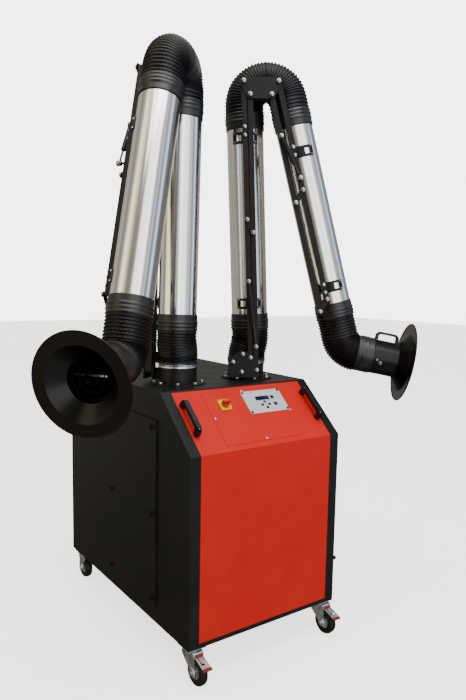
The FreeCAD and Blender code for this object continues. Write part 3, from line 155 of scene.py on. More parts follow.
print("a grain of 1 mm has texture scale", round(per_mm(1)))

# %% [markdown]
# A product shot on white is lit by large soft sources. The camera sees a plain white cove. The lamps in it
# are upright strips, told apart by their bearing in degrees from +X: a broad white one in front of the
# machine, a cream one on its left, thin cool ones on its right, and dim room between them. Bare tubes mirror
# these strips as long bands. One broad lamp overhead lights the slope and the floor. The floor glows a
# little, as a light table does, and is left out of reflections, so the black coat stays black.

# %% World, lamp and floor
STRIPS = ((-180, "#D2C8AC"), (-168, "#D2C8AC"), (-164, "#4E4A44"), (-125, "#55524C"), (-120, "#FFFFFF"),
          (-80, "#FFFFFF"), (-74, "#B7C9E6"), (-64, "#6A6862"), (-56, "#A79F8A"), (-48, "#3A3A3A"),
          (-27, "#A9BBD8"), (-20, "#4A4A4A"), (20, "#5E5D5B"), (100, "#6A6864"), (155, "#6E6B65"),
          (164, "#D2C8AC"), (180, "#D2C8AC"))
STRIP_POWER, SKIRT_POWER, COVE_POWER = 3.2, 0.8, 5.0
LAMP_PLACE, LAMP_TARGET, LAMP_WIDE, LAMP_WATTS = Vector((-0.3, -0.9, 4.2)), Vector((0, -0.1, 1.0)), 3.0, 125

world = bpy.data.worlds.new("white_cove")
world.use_nodes = True
tree = world.node_tree
looked = add(tree, "SeparateXYZ", {"Vector": add(tree, "TexCoord").outputs["Generated"]})
bearing = add(tree, "Math", {0: looked.outputs["Y"], 1: looked.outputs["X"]}, operation="ARCTAN2")
share = add(tree, "MapRange", {"Value": bearing.outputs["Value"]},
            {"From Min": -math.pi, "From Max": math.pi})
strips = add(tree, "ValToRGB", {"Fac": share.outputs["Result"]})
stops = strips.color_ramp.elements
for stop, (angle, code) in zip((stops[0], stops[1]), (STRIPS[0], STRIPS[-1])):
    stop.position, stop.color = (angle + 180) / 360, srgb(code)
for angle, code in STRIPS[1:-1]:
    stops.new((angle + 180) / 360).color = srgb(code)
skirt = add(tree, "MapRange", {"Value": looked.outputs["Z"]},
            {"From Min": -0.36, "From Max": -0.16, "To Min": SKIRT_POWER, "To Max": STRIP_POWER})
lamps = add(tree, "Background", {"Color": strips.outputs["Color"], "Strength": skirt.outputs["Result"]})
cove = add(tree, "Background", values={"Color": srgb("#FFFFFF"), "Strength": COVE_POWER})
seen = add(tree, "MixShader", {0: add(tree, "LightPath").outputs["Is Camera Ray"],
                               1: lamps.outputs["Background"], 2: cove.outputs["Background"]})
tree.links.new(seen.outputs["Shader"], tree.nodes["World Output"].inputs["Surface"])
bpy.context.scene.world = world

light = bpy.data.lights.new("overhead", "AREA")
light.shape, light.size, light.size_y, light.energy = "RECTANGLE", LAMP_WIDE, LAMP_WIDE, LAMP_WATTS
overhead = bpy.data.objects.new("overhead", light)
bpy.context.collection.objects.link(overhead)
overhead.location = LAMP_PLACE
overhead.rotation_euler = (LAMP_TARGET - LAMP_PLACE).to_track_quat("-Z", "Y").to_euler()

bpy.ops.mesh.primitive_plane_add(size=40, location=(0, 0, -0.0005))
floor = bpy.context.object
floor.name = "studio_floor"
floor.visible_glossy = floor.visible_diffuse = False
pale_floor = worn("pale_floor", ("#E6E6E5", "#EDEDEC"), grain=8.0, rough=(0.6, 0.7), bump=(0.02, 0.1),
                  index=1.45, Emission_Color=srgb("#F4F4F3"), Emission_Strength=2.2)
floor.data.materials.append(pale_floor)
print("a cove with", len(STRIPS), "strip stops, one lamp and a floor")

# %% [markdown]
# Powder coat is a thermoset polyester, sprayed as dry powder and baked. It flows into a fine orange peel
# about 1.5 mm across, which breaks up reflections: satin, not mirror-like. The cabinet is black, the front
# is red. The spun hoods get a smoother powder, so the light gathers in the lower half of the cone. The wire
# guard in each hood is dipped in a thin matt lacquer, so it hardly shows against the dark duct.

# %% Coats
black_coat = worn(
    "black_powder_coat", ("#0F0E0D", "#171514"), grain=1.6, rough=(0.42, 0.52), bump=(0.12, 0.1), shine=0.2)
hood_coat = worn(
    "smooth_black_powder_coat", ("#050404", "#0A0808"), grain=2.4, rough=(0.24, 0.3), bump=(0.08, 0.08),
    shine=0.2)
red_coat = worn(
    "red_powder_coat", ("#B5150B", "#BA180E"), grain=1.6, rough=(0.42, 0.48), bump=(0.12, 0.1), shine=0.2)
wire_coat = worn(
    "dipped_black_lacquer", ("#050505", "#0A0A0A"), grain=0.8, rough=(0.5, 0.6), bump=(0.05, 0.04),
    shine=0.08)
grey_coat = worn("grey_primer", ("#77797B", "#838587"), grain=1.2, rough=(0.5, 0.6), bump=(0.1, 0.08))
pedal_enamel = worn(
    "red_stove_enamel", ("#6C2027", "#7E2C33"), grain=0.5, rough=(0.3, 0.42), bump=(0.06, 0.05), shine=0.3)
print("finishes so far:", len(bpy.data.materials))

# %% [markdown]
# Zinc plate on the casters and bolts is electroplated and passivated: bright, a little blue, with a soft
# mottle. On the cold-headed bolts the same plating is darker and shinier. The rods of the gas springs are
# nitrided steel, ground first, so they are dark and smooth.

# %% Metals
METAL = {"band": 20, "Metallic": 1.0}
zinc = worn("zinc_plate", ("#B4B8BB", "#DADCDE"), grain=0.8, rough=(0.3, 0.48), bump=(0.1, 0.05), **METAL)
bolt_zinc = worn(
    "zinc_plated_bolt", ("#7C8082", "#9DA1A2"), grain=0.8, rough=(0.22, 0.34), bump=(0.1, 0.05), **METAL)
dark_rod = worn(
    "nitrided_steel_rod", ("#2C2C2E", "#414143"), grain=0.5, rough=(0.2, 0.3), bump=(0.03, 0.02), **METAL)
print(zinc.name, bolt_zinc.name, dark_rod.name)

# %% [markdown]
# The hoses are coated fabric over a wire coil: black, dull, with a little light on the crests. Their cuffs
# are moulded rubber, smoother and a shade lighter. Tyres are black rubber, the grips black polyamide with a
# fine spark-eroded texture. The keypad is a printed polyester film on a plate, the display has a dark blue
# window, and the switch is coloured polycarbonate. Plastics differ mostly in their index of refraction and
# in how rough the mould left them.

# %% Rubber, plastics and paper
hose_cloth = worn(
    "coated_hose_fabric", ("#050505", "#0B0A0A"), grain=0.9, rough=(0.3, 0.42), bump=(0.25, 0.2), shine=0.27)
cuff_rubber = worn(
    "moulded_rubber_cuff", ("#121110", "#21201F"), grain=1.2, rough=(0.28, 0.42), bump=(0.18, 0.15),
    shine=0.38)
tyre_rubber = worn(
    "tyre_rubber", ("#0A0A0A", "#111111"), grain=0.7, rough=(0.55, 0.7), bump=(0.2, 0.1), shine=0.25)
grip_nylon = worn(
    "black_polyamide", ("#0B0B0B", "#131313"), grain=0.5, rough=(0.36, 0.48), bump=(0.15, 0.06), index=1.53,
    shine=0.3)
keypad_film = worn("grey_polyester_film", ("#A9AEB0", "#B4B8B9"), grain=0.4, rough=(0.4, 0.5), index=1.6)
key_film = worn("dark_key_film", ("#131416", "#1D1E20"), grain=0.4, rough=(0.4, 0.5), index=1.6, shine=0.2)
yellow_plate = worn(
    "yellow_polycarbonate", ("#C4A300", "#CFAD00"), grain=0.5, rough=(0.35, 0.45), index=1.58, shine=0.15)
red_plastic = worn("red_polycarbonate", ("#A81810", "#BC2218"), grain=0.5, rough=(0.25, 0.35), index=1.58)
screen_glass = worn("display_glass", ("#0A1230", "#101A3E"), grain=3.0, rough=(0.06, 0.1), bump=(0.01, 0.02))
filter_paper = worn(
    "pleated_filter_paper", ("#D8D5C8", "#E2DFD3"), grain=0.6, rough=(0.85, 0.95), bump=(0.3, 0.1),
    index=1.45)
print("finishes so far:", len(bpy.data.materials))

# %% [markdown]
# The solids already have the right shape, so most of them keep it and only take a finish. A small bevel is
# added to folded sheet and milled bar, because a real edge is never sharp and its thin highlight shows the
# form.

# %% Dress the solids
SIDES = ("left", "right")
BEVEL_ANGLE = math.radians(40)


def dress(finish, names, bevel=0.0):
    """Give nodes a finish and, if asked, a bevel of that many millimetres."""
    for name in names:
        item = nodes[name]
        if item.material_slots:
            for held in item.material_slots:
                held.material = finish
        else:
            item.data.materials.append(finish)
        if bevel:
            edge = item.modifiers.new("broken_edge", "BEVEL")
            edge.width, edge.segments, edge.limit_method = bevel * MM, 2, "ANGLE"
            edge.angle_limit = BEVEL_ANGLE


def both(*pieces):
    return [f"{side}_{piece}" for side in SIDES for piece in pieces]


dress(black_coat, ["cabinet_body", "service_panel"], bevel=1.6)
dress(black_coat, ["arm_flanges"], bevel=0.6)
dress(red_coat, ["front_panel", "control_cover"], bevel=0.8)
dress(black_coat, both("collar", "lower_bar", "lower_link", "lower_mid_link", "elbow_plates", "forearm_bar",
                       "forearm_link", "forearm_mid_link", "end_link"), bevel=0.5)
dress(hood_coat, both("hood"))
dress(wire_coat, both("hood_guard"))
dress(dark_rod, both("lower_gas_rod", "forearm_gas_rod"))
dress(zinc, both("front_fork", "brake_pedal") + ["caster_mounts"], bevel=0.5)
dress(grip_nylon, ["front_handles"], bevel=2.5)
dress(keypad_film, ["control_plate"], bevel=0.5)
dress(screen_glass, ["display_window"])
dress(yellow_plate, ["switch_base"], bevel=0.8)
dress(red_plastic, ["switch_knob"], bevel=1.0)
dress(filter_paper, ["filter_cartridge"])
dress(grey_coat, ["fan_unit", "impeller"])
print("dressed the solids, apart from tubes, hoses, wheels and hood handles")

# %% [markdown]
# Each arm has its own frame: it stands on the cabinet top, turned about Z by its heading, and everything on
# it is drawn in one upright plane. These few lengths fix every pivot, so bolts, clamps and hoses can be
# placed by name. OUT, further on, points from that plane towards the linkage.

# %% Arm geometry
TOP, ARM_Y = 1016, -147
LEAN, LINK_AHEAD, LINK_DROP, LOWER, SPAN, FOREARM = -2.6, 26, 50, 1082, 136, 866
SHOULDER, TUBE_OFFSET, HOOD_DROP, HOOD_REACH = Vector((18, 0, 97)), 32, 1095, 266
LOWER_MID_SHARE, FORE_MID_SHARE = 0.51, 0.49
ARM = {"left": {"x": -168, "heading": -143.5, "fore": 17.2, "pitch": 10.5},
       "right": {"x": 168, "heading": -36.8, "fore": 14.4, "pitch": 10.5}}


def slant(angle):
    """Unit step in the arm's plane at an angle from straight up, leaning outwards."""
    return Vector((math.sin(math.radians(angle)), 0, math.cos(math.radians(angle))))


def pivots(side):
    """Named points and directions of one arm, in its own frame."""
    arm = ARM[side]
    link, mirror = Vector((LINK_AHEAD, 0, -LINK_DROP)), Vector((-LINK_AHEAD, 0, -LINK_DROP))
    up, down, ahead = slant(LEAN), slant(180 - arm["fore"]), slant(90 + arm["pitch"])
    p = SimpleNamespace(up=up, down=down, ahead=ahead, shoulder=SHOULDER)
    p.shoulder_link = p.shoulder + link
    p.elbow_in = p.shoulder + up * LOWER
    p.elbow_out = p.elbow_in + Vector((SPAN, 0, 0))
    p.lower_mid = p.shoulder + up * LOWER * LOWER_MID_SHARE
    p.fore_mid = p.elbow_out + down * FOREARM * FORE_MID_SHARE
    p.wrist = p.elbow_out + down * FOREARM
    for name in ("elbow_in", "lower_mid"):
        setattr(p, name + "_link", getattr(p, name) + link)
    for name in ("elbow_out", "fore_mid", "wrist"):
        setattr(p, name + "_link", getattr(p, name) + mirror)
    p.fore_top = p.elbow_out + slant(90 - arm["fore"]) * TUBE_OFFSET
    p.hood_pivot = p.fore_top + down * HOOD_DROP
    p.rim = p.hood_pivot + ahead * HOOD_REACH
    return p


def moved(point):
    """Frame at a point in millimetres."""
    return Matrix.Translation(Vector(point) * MM)


def spun(degrees, axis):
    return Matrix.Rotation(math.radians(degrees), 4, axis)


def arm_frame(side):
    arm = ARM[side]
    return moved((arm["x"], ARM_Y, TOP)) @ spun(arm["heading"], "Z")


def tube_frame(side, which):
    """Frame on a tube's axis: Z along the tube, X away from the machine, -Y towards the linkage."""
    p = PIVOT[side]
    start, tilt = (p.shoulder, LEAN) if which == "lower_arm" else (p.fore_top, -ARM[side]["fore"])
    return arm_frame(side) @ moved(start) @ spun(tilt, "Y")


PIVOT = {side: pivots(side) for side in SIDES}
for side in SIDES:
    print(side, "rim at", [round(c) for c in PIVOT[side].rim])

# %% [markdown]
# The tubes are extruded aluminium, polished along their length and left bare. The die leaves bands and fine
# lines that run with the tube, so their grain follows each tube's own frame. The lines are drawn 0.8 mm wide,
# coarser than the real ones, which would not show at this distance.

# %% Tubes
for side in SIDES:
    for which, node in (("lower_arm", "lower_tube"), ("forearm", "forearm_tube")):
        bare = worn(f"extruded_aluminium_{side}_{which}", ("#C4C0B8", "#FAFAF8"), grain=0.8,
                    rough=(0.12, 0.24), bump=(0.06, 0.05), band=14, along=tube_frame(side, which),
                    Metallic=1.0)
        dress(bare, [f"{side}_{node}"])
print("four tubes with lengthwise die lines")

# %% [markdown]
# A ribbed hose could be a screw modifier or a displaced tube. Here it is a run of rings along its own path,
# because the path bends. The path is straight runs joined by arcs, walked like a turtle: go, turn, go. It
# starts at a point with a heading, and each piece has a length and a turn.

# %% Hose paths
BASE_START, BASE_LOW, BASE_HIGH, BASE_END, BASE_REACH = 59, 108, 62, 175, 20
ELBOW_START, ELBOW_CROWN, ELBOW_END = 918, 1100, 165
HOOD_START, HOOD_END, HOOD_BEND = 890, 144, 84


def heading_of(step):
    return math.degrees(math.atan2(step.x, step.z))


def traced(points, reaches):
    """Runs and arcs along a bent line whose corners are rounded over the given reaches."""
    reaches = [0.0] + list(reaches) + [0.0]
    pieces = []
    for i in range(len(points) - 1):
        step = points[i + 1] - points[i]
        pieces.append((step.length - reaches[i] - reaches[i + 1], 0.0))
        if i + 2 < len(points):
            turn = heading_of(points[i + 2] - points[i + 1]) - heading_of(step)
            turn = (turn + 180) % 360 - 180
            radius = reaches[i + 1] / math.tan(math.radians(abs(turn) / 2))
            pieces.append((radius * math.radians(abs(turn)), turn))
    return points[0], heading_of(points[1] - points[0]), pieces


def walked(path, distance):
    """Point and heading at a distance along a path."""
    point, heading, pieces = path
    for index, (length, turn) in enumerate(pieces):
        last = index == len(pieces) - 1
        step = distance if last else min(distance, length)
        if turn:
            radius = length / math.radians(turn)
            hub = point + slant(heading + 90) * radius
            heading += math.degrees(step / radius)
            point = hub - slant(heading + 90) * radius
        else:
            point = point + slant(heading) * step
        distance -= step
        if distance <= 0:
            break
    return point, heading


def length_of(path):
    return sum(length for length, turn in path[2])


def base_path(side):
    shoulder, up = PIVOT[side].shoulder, PIVOT[side].up
    points = [UP * BASE_START, UP * BASE_LOW, shoulder + up * BASE_HIGH, shoulder + up * BASE_END]
    return traced(points, [BASE_REACH, BASE_REACH])


def elbow_path(side):
    """Up the lower tube, over two equal bends, and down the forearm tube."""
    p = PIVOT[side]
    start, crown = [p.shoulder + p.up * rise for rise in (ELBOW_START, ELBOW_CROWN)]
    half = (180 - ARM[side]["fore"] - LEAN) / 2
    level_step = slant(LEAN + half)
    gap = p.fore_top - crown
    turn = level_step.x * p.down.z - level_step.z * p.down.x
    span = (gap.x * p.down.z - gap.z * p.down.x) / turn
    points = [start, crown, crown + level_step * span, p.fore_top + p.down * ELBOW_END]
    return traced(points, [span / 2, span / 2])


def hood_path(side):
    p = PIVOT[side]
    turn = 90 - ARM[side]["fore"] - ARM[side]["pitch"]
    points = [p.fore_top + p.down * HOOD_START, p.hood_pivot, p.rim - p.ahead * HOOD_END]
    return traced(points, [HOOD_BEND * math.tan(math.radians(turn / 2))])


for side in SIDES:
    print(side, "hose lengths", [round(length_of(path(side))) for path in (base_path, elbow_path, hood_path)])

# %% [markdown]
# The rings crowd on the inside of a bend, as the real wire coil does, and keep their spacing on the outside,
# where the cloth is stretched. Between the turns of the wire the cloth puckers, out of step from one rib to
# the next. Each end is a rubber cuff, smooth at its rim, with three soft folds next to the ribs. A slow wave
# round the hose makes it a little uneven, as hand-fitted rubber is. It is a formula, so it is the same in
# each run.

# %% Hose rings
Ring = namedtuple("Ring", "at radius slack pucker")
Cuff = namedtuple("Cuff", "length radius fold")
COLLAR_CUFF, TUBE_CUFF, DUCT_CUFF = Cuff(32, 78.5, 3.2), Cuff(66, 78.5, 3.2), Cuff(67, 76.0, 0.5)
LIP, LIP_DROP, LIP_SLACK = 2.0, 1.0, 0.1
CUFF_STEPS, CUFF_FOLDS, CUFF_TAPER, SMOOTH_SHARE, CUFF_SLACK, FOLD_SLACK = 20, 3, 0.6, 0.34, 0.15, 0.8
RIB_SHARES = ((0.0, 0.0), (0.17, 0.08), (0.32, 0.6), (0.44, 0.97), (0.56, 0.97), (0.68, 0.6), (0.83, 0.08))
RIB_VALLEY, RIB_CREST, RIB_SLACK = 74.2, 79.4, 0.35
PUCKERS, PUCKER_DEPTH = 32, 0.9
WAVES = ((0.6, 3, 0.11), (0.4, 7, -0.07))


def cuff_rings(cuff):
    """A rubber cuff from its rim: a smooth band, then soft folds towards the ribs."""
    rings = [Ring(0.0, cuff.radius - LIP_DROP, 0.0, 0.0), Ring(LIP, cuff.radius, LIP_SLACK, 0.0)]
    for i in range(1, CUFF_STEPS):
        share = i / CUFF_STEPS
        fold = max(0.0, share - SMOOTH_SHARE) / (1 - SMOOTH_SHARE)
        lift = cuff.fold * math.sin(CUFF_FOLDS * math.pi * fold) ** 2
        slack = CUFF_SLACK + FOLD_SLACK * math.sin(math.pi * fold)
        at = LIP + share * (cuff.length - LIP)
        rings.append(Ring(at, cuff.radius - CUFF_TAPER * fold + lift, slack, 0.0))
    return rings


def even_outside(path, first, last):
    """A function from a share of the ribbed stretch to a distance, with equal steps outside the bends."""
    stretches, start = [], 0.0
    for length, turn in path[2]:
        low, high = max(start, first), min(start + length, last)
        start += length
        if high > low:
            swell = 1 + RIB_CREST * math.radians(abs(turn)) / length
            stretches.append((low, high, swell))
    outside = sum((high - low) * swell for low, high, swell in stretches)

    def distance(share):
        left = share * outside
        for low, high, swell in stretches:
            if left <= (high - low) * swell:
                return low + left / swell
            left -= (high - low) * swell
        return last

    return distance


def hose_rings(path, first, last, ribs):
    """Every ring of a hose: a folded cuff, the ribs, and a second folded cuff."""
    rings, total = cuff_rings(first), length_of(path)
    spaced = even_outside(path, first.length, total - last.length)
    for i in range(ribs):
        for share, lift in RIB_SHARES:
            radius = RIB_VALLEY + (RIB_CREST - RIB_VALLEY) * lift
            rings.append(Ring(spaced((i + share) / ribs), radius, RIB_SLACK, PUCKER_DEPTH * (-1) ** i))
    return rings + [ring._replace(at=total - ring.at) for ring in reversed(cuff_rings(last))]


def uneven(angle, distance):
    """A slow wave round the hose that drifts along it, between -1 and 1."""
    return sum(size * math.sin(count * angle + drift * distance) for size, count, drift in WAVES)


print("a rib has", len(RIB_SHARES), "rings and a cuff", len(cuff_rings(TUBE_CUFF)))

# %% [markdown]
# The small parts and the hoses are drawn as loops of points, which one function joins with four-sided faces.
# A second makes the mesh an object with a finish. A third also gives it the body that it rides on. So
# each shape is real geometry.

# %% Mesh helpers
def skin(shape, loops):
    """Faces between neighbouring loops of points, as a row of faces for each pair of loops."""
    rows = []
    for low, high in zip(loops, loops[1:]):
        pairs = [(i, (i + 1) % len(low)) for i in range(len(low))]
        rows.append([shape.faces.new((low[i], low[j], high[j], high[i])) for i, j in pairs])
    return rows


def close_ends(shape, loops):
    shape.faces.new(loops[0][::-1])
    shape.faces.new(loops[-1])


def face_outward(shape):
    bmesh.ops.recalc_face_normals(shape, faces=shape.faces)


def finished(name, shape, finish, smooth=True):
    data = bpy.data.meshes.new(name)
    shape.to_mesh(data)
    shape.free()
    for face in data.polygons:
        face.use_smooth = smooth
    item = bpy.data.objects.new(name, data)
    bpy.context.collection.objects.link(item)
    data.materials.append(finish)
    return item


def carried(name, shape, finish, body, smooth=False):
    piece = finished(name, shape, finish, smooth)
    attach(piece, body)
    return piece


# %% [markdown]
# Each hose crosses a joint, but here it is skinned in place and follows no body. The elbow hose crosses two
# joints, and is made in two halves that meet at the crown.

# %% Hoses
HOSE_SIDES, HOSE_WALL, TURN_IN, HALF_LAP = 96, 3.4, 4, 2
HOSES = (("base_hose", base_path, COLLAR_CUFF, TUBE_CUFF, 14, "turret lower_arm", "skin"),
         ("elbow_hose", elbow_path, TUBE_CUFF, TUBE_CUFF, 40, "lower_arm elbow forearm", "rise fall"),
         ("hood_hose", hood_path, TUBE_CUFF, DUCT_CUFF, 22, "forearm hood", "skin"))


def hose_mesh(name, side, path, rings):
    """Skin the rings, in world metres, and turn both ends in so that the hose has a thickness.

    Faces between two puckered rings are cloth, and the others are the rubber of the cuffs.
    """
    shape, place, loops = bmesh.new(), arm_frame(side), []
    first, last = rings[0], rings[-1]
    rings = [Ring(first.at + TURN_IN, first.radius - HOSE_WALL, 0.0, 0.0), *rings,
             Ring(last.at - TURN_IN, last.radius - HOSE_WALL, 0.0, 0.0)]
    for ring in rings:
        centre, heading = walked(path, ring.at)
        square = slant(heading + 90)
        loop = []
        for i in range(HOSE_SIDES):
            angle = 2 * math.pi * i / HOSE_SIDES
            reach = ring.radius + ring.slack * uneven(angle, ring.at)
            reach += ring.pucker * math.cos(PUCKERS * angle)
            point = centre + square * (reach * math.cos(angle)) + Vector((0, reach * math.sin(angle), 0))
            loop.append(shape.verts.new(place @ (point * MM)))
        loops.append(loop)
    for row, ring, after in zip(skin(shape, loops), rings, rings[1:]):
        for face in row:
            face.material_index = 0 if ring.pucker and after.pucker else 1
    face_outward(shape)
    hose = finished(name, shape, hose_cloth)
    hose.data.materials.append(cuff_rubber)
    return hose


for side in SIDES:
    for node, path_of, first, last, ribs, bodies, parts in HOSES:
        path = path_of(side)
        total, rings = length_of(path), hose_rings(path, first, last, ribs)
        bodies, parts = [f"{side}_{body}" for body in bodies.split()], parts.split()
        marks = [first.length, *[total / 2] * (len(parts) - 1), total - last.length]
        for i, part in enumerate(parts):
            low = marks[i] - HALF_LAP if i else 0.0
            high = marks[i + 1] + HALF_LAP if i + 1 < len(parts) else total
            run = [ring for ring in rings if low <= ring.at <= high]
            hose = hose_mesh(f"{side}_{node}_{part}", side, path, run)
            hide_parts(f"{side}_{node}")
            ends = [arm_frame(side) @ (walked(path, mark)[0] * MM) for mark in marks[i:i + 2]]
            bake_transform(hose)
    print(side, "hoses skinned")

# %% [markdown]
# Bolts hold the whole linkage together and catch the light against the black coat. A hexagon head is a
# six-sided prism with its top corners turned off, on a plain washer, and the pivots have domed caps. One
# function makes a head along any axis, and all the heads that ride on one body share one mesh.

# %% Bolt heads
WASHER_SHARES = ((0.64, 0), (0.64, 0.8), (0.62, 1))
BUTTON_SHARES = ((1, 0), (1, 0.35), (0.86, 0.8), (0.6, 1), (0.34, 1), (0.3, 0.45))
DOME_SHARES = ((1, 0), (1, 0.62), (0.97, 0.76), (0.85, 0.87), (0.58, 0.96), (0.2, 1))
HEX_SIDE_SHARE, HEX_TOP_SHARE = 0.85, 0.9


def turned(shape, place, section, sides, start=0.0):
    """Skin a list of (radius, height) rings about the Z axis of a frame, and close both ends."""
    angles = [start + 2 * math.pi * i / sides for i in range(sides)]
    loops = []
    for radius, height in section:
        points = [Vector((radius * math.cos(angle), radius * math.sin(angle), height)) for angle in angles]
        loops.append([shape.verts.new(place @ (point * MM)) for point in points])
    skin(shape, loops)
    close_ends(shape, loops)


def sized(shares, radius, height):
    return [(radius * out, height * up) for out, up in shares]


def axis_frame(place, point, direction):
    """Frame with its Z axis along a direction, inside another frame; the point is in millimetres."""
    turn = Vector(direction).normalized().to_track_quat("Z", "Y").to_matrix().to_4x4()
    return place @ moved(point) @ turn


def hex_head(shape, place, width, height, washer=1.6):
    """Hexagon head over a washer; width is across the flats."""
    corner = width / math.sqrt(3)
    turned(shape, place, sized(WASHER_SHARES, width, washer), sides=24)
    head = [(corner, washer), (corner, height * HEX_SIDE_SHARE), (corner * HEX_TOP_SHARE, height)]
    turned(shape, place, head, sides=6, start=0.2)


def screw_head(shape, place, width, height):
    """Low button head with a recess."""
    turned(shape, place, sized(BUTTON_SHARES, width / 2, height), sides=18)


def dome_head(shape, place, radius, height):
    """Domed cap over a bolt end, on its rim."""
    turned(shape, place, sized(DOME_SHARES, radius, height), sides=28)


def fasten(name, body, finish, heads, maker, smooth=False, **sizes):
    """One piece with a head, or another small shape, at each of the frames."""
    shape = bmesh.new()
    for place in heads:
        maker(shape, place, **sizes)
    return carried(name, shape, finish, body, smooth)


print("three kinds of head")

# %% [markdown]
# Each arm has a cap on every pivot, and on three more bolts of the bracket at its foot. They ride on the
# plates that they hold. A ring of bolts fixes the foot flange to the cabinet.

# %% Pivot and flange bolts
OUT = Vector((0, -1, 0))
PLATE_FACE = 126
BRACKET_BOLTS = [Vector((x, 0, z)) for x, z in ((-13.8, 111), (-53, 77.7), (-17, 37.7))]
FLANGE_BOLTS, FLANGE_RADIUS, FLANGE_FACE = 8, 94, 5
for side in SIDES:
    p, place = PIVOT[side], arm_frame(side)
    sets = {
        "turret": [p.shoulder, p.shoulder_link, *BRACKET_BOLTS],
        "lower_mid_link": [p.lower_mid, p.lower_mid_link],
        "elbow": [p.elbow_in, p.elbow_in_link, p.elbow_out, p.elbow_out_link],
        "forearm_mid_link": [p.fore_mid, p.fore_mid_link],
        "end_link": [p.wrist, p.wrist_link],
    }
    for body, points in sets.items():
        heads = [axis_frame(place, point + OUT * PLATE_FACE, OUT) for point in points]
        fasten(f"{side}_{body}_bolts", f"{side}_{body}", bolt_zinc, heads, dome_head, True, radius=9.6,
               height=8.0)
    feet = []
    for i in range(FLANGE_BOLTS):
        angle = math.radians((i + 0.5) * 360 / FLANGE_BOLTS)
        foot = (FLANGE_RADIUS * math.cos(angle), FLANGE_RADIUS * math.sin(angle), FLANGE_FACE)
        feet.append(place @ moved(foot))
    fasten(side + "_flange_bolts", "cabinet", bolt_zinc, feet, hex_head, width=13.0, height=6.5)
print("pivot and flange bolts")

# %% [markdown]
# The gas springs end in zinc plated ball sockets. Each socket is a turned cap with rounded edges over the eye
# of the cylinder or of the rod, and rides with it.

# %% Gas spring sockets
EYE_FACE, EYE_CAP = 133.4, ((9.0, 0), (9.5, 1), (9.5, 17.6), (8.4, 19.2), (4.0, 19.6))
LOWER_BAR_EYE, LOWER_LINK_EYE, FORE_LINK_EYE, FORE_BAR_EYE = 308, 97, 165, 380
for side in SIDES:
    p, place = PIVOT[side], arm_frame(side)
    eyes = {
        "lower_arm": p.shoulder + p.up * LOWER_BAR_EYE,
        "lower_gas_rod": p.shoulder_link + p.up * LOWER_LINK_EYE,
        "forearm_link": p.elbow_out_link + p.down * FORE_LINK_EYE,
        "forearm_gas_rod": p.elbow_out + p.down * FORE_BAR_EYE,
    }
    for body, point in eyes.items():
        seats = [axis_frame(place, point + OUT * EYE_FACE, OUT)]
        fasten(f"{side}_{body}_socket", f"{side}_{body}", bolt_zinc, seats, turned, True,
               section=EYE_CAP, sides=28)
print("eight ball sockets")

# %% [markdown]
# A worm-drive band holds each base hose on. A band is a thin strip round the hose with a small screw housing,
# so it is a ring with a block on it. The ring is a section carried round an axis, and so are the tyres and
# the rolled edges further on.

# %% Hose bands
RING_EDGE_SHARE, BLOCK_EDGE_SHARE = 0.25, 0.15
BAND_RADIUS, BAND_LOW, BAND_THICK, BAND_WIDE = 78.6, 66, 1.2, 12
HOUSING_TURN, HOUSING_LOW, HOUSING_HIGH = -60, (-1, -11, -1), (9, 11, 13)
WORM_PLACE, WORM_HEAD = (5, -11, 6), ((4.2, 0), (4.2, 7), (3.4, 8))


def hoop(shape, place, section, sides):
    """A closed section of (radius, height) points, carried round the Z axis of a frame."""
    loops = []
    for i in range(sides):
        angle = 2 * math.pi * i / sides
        turn = Vector((math.cos(angle), math.sin(angle), 0))
        loops.append([shape.verts.new(place @ ((turn * r + UP * z) * MM)) for r, z in section])
    for here, after in zip(loops, loops[1:] + loops[:1]):
        for k in range(len(section)):
            m = (k + 1) % len(section)
            shape.faces.new((here[k], after[k], after[m], here[m]))


def soft_ring(shape, place, inner, outer, low, high, sides):
    """A flat ring about Z whose outer edges are softened."""
    edge = min((outer - inner), (high - low)) * RING_EDGE_SHARE
    section = [(inner, low), (outer - edge, low), (outer, low + edge), (outer, high - edge),
               (outer - edge, high), (inner, high)]
    hoop(shape, place, section, sides)


def block(shape, place, low, high):
    """A plain block between two corners, with a bevelled edge."""
    low, high = Vector(low), Vector(high)
    middle, spread = (low + high) / 2, high - low
    made = bmesh.ops.create_cube(shape, size=1.0)["verts"]
    for vert in made:
        local = Vector([share * size for share, size in zip(vert.co, spread)]) + middle
        vert.co = place @ (local * MM)
    edges = {edge for vert in made for edge in vert.link_edges}
    bmesh.ops.bevel(shape, geom=list(edges), offset=min(spread) * BLOCK_EDGE_SHARE * MM, segments=2,
                    affect="EDGES")


for side in SIDES:
    shape, place = bmesh.new(), arm_frame(side)
    soft_ring(shape, place, BAND_RADIUS, BAND_RADIUS + BAND_THICK, BAND_LOW, BAND_LOW + BAND_WIDE, sides=72)
    housing = place @ spun(HOUSING_TURN, "Z") @ moved((BAND_RADIUS, 0, BAND_LOW))
    block(shape, housing, HOUSING_LOW, HOUSING_HIGH)
    turned(shape, axis_frame(housing, WORM_PLACE, OUT), WORM_HEAD, sides=6)
    carried(side + "_base_band", shape, zinc, side + "_turret")
print("two hose bands")

# %% [markdown]
# Each tube is held to its bar by two clamps. A clamp gets a bolt at each corner, and the bolts lie on the
# curve of its saddle. Small caps close the bolts that go through the bar itself.

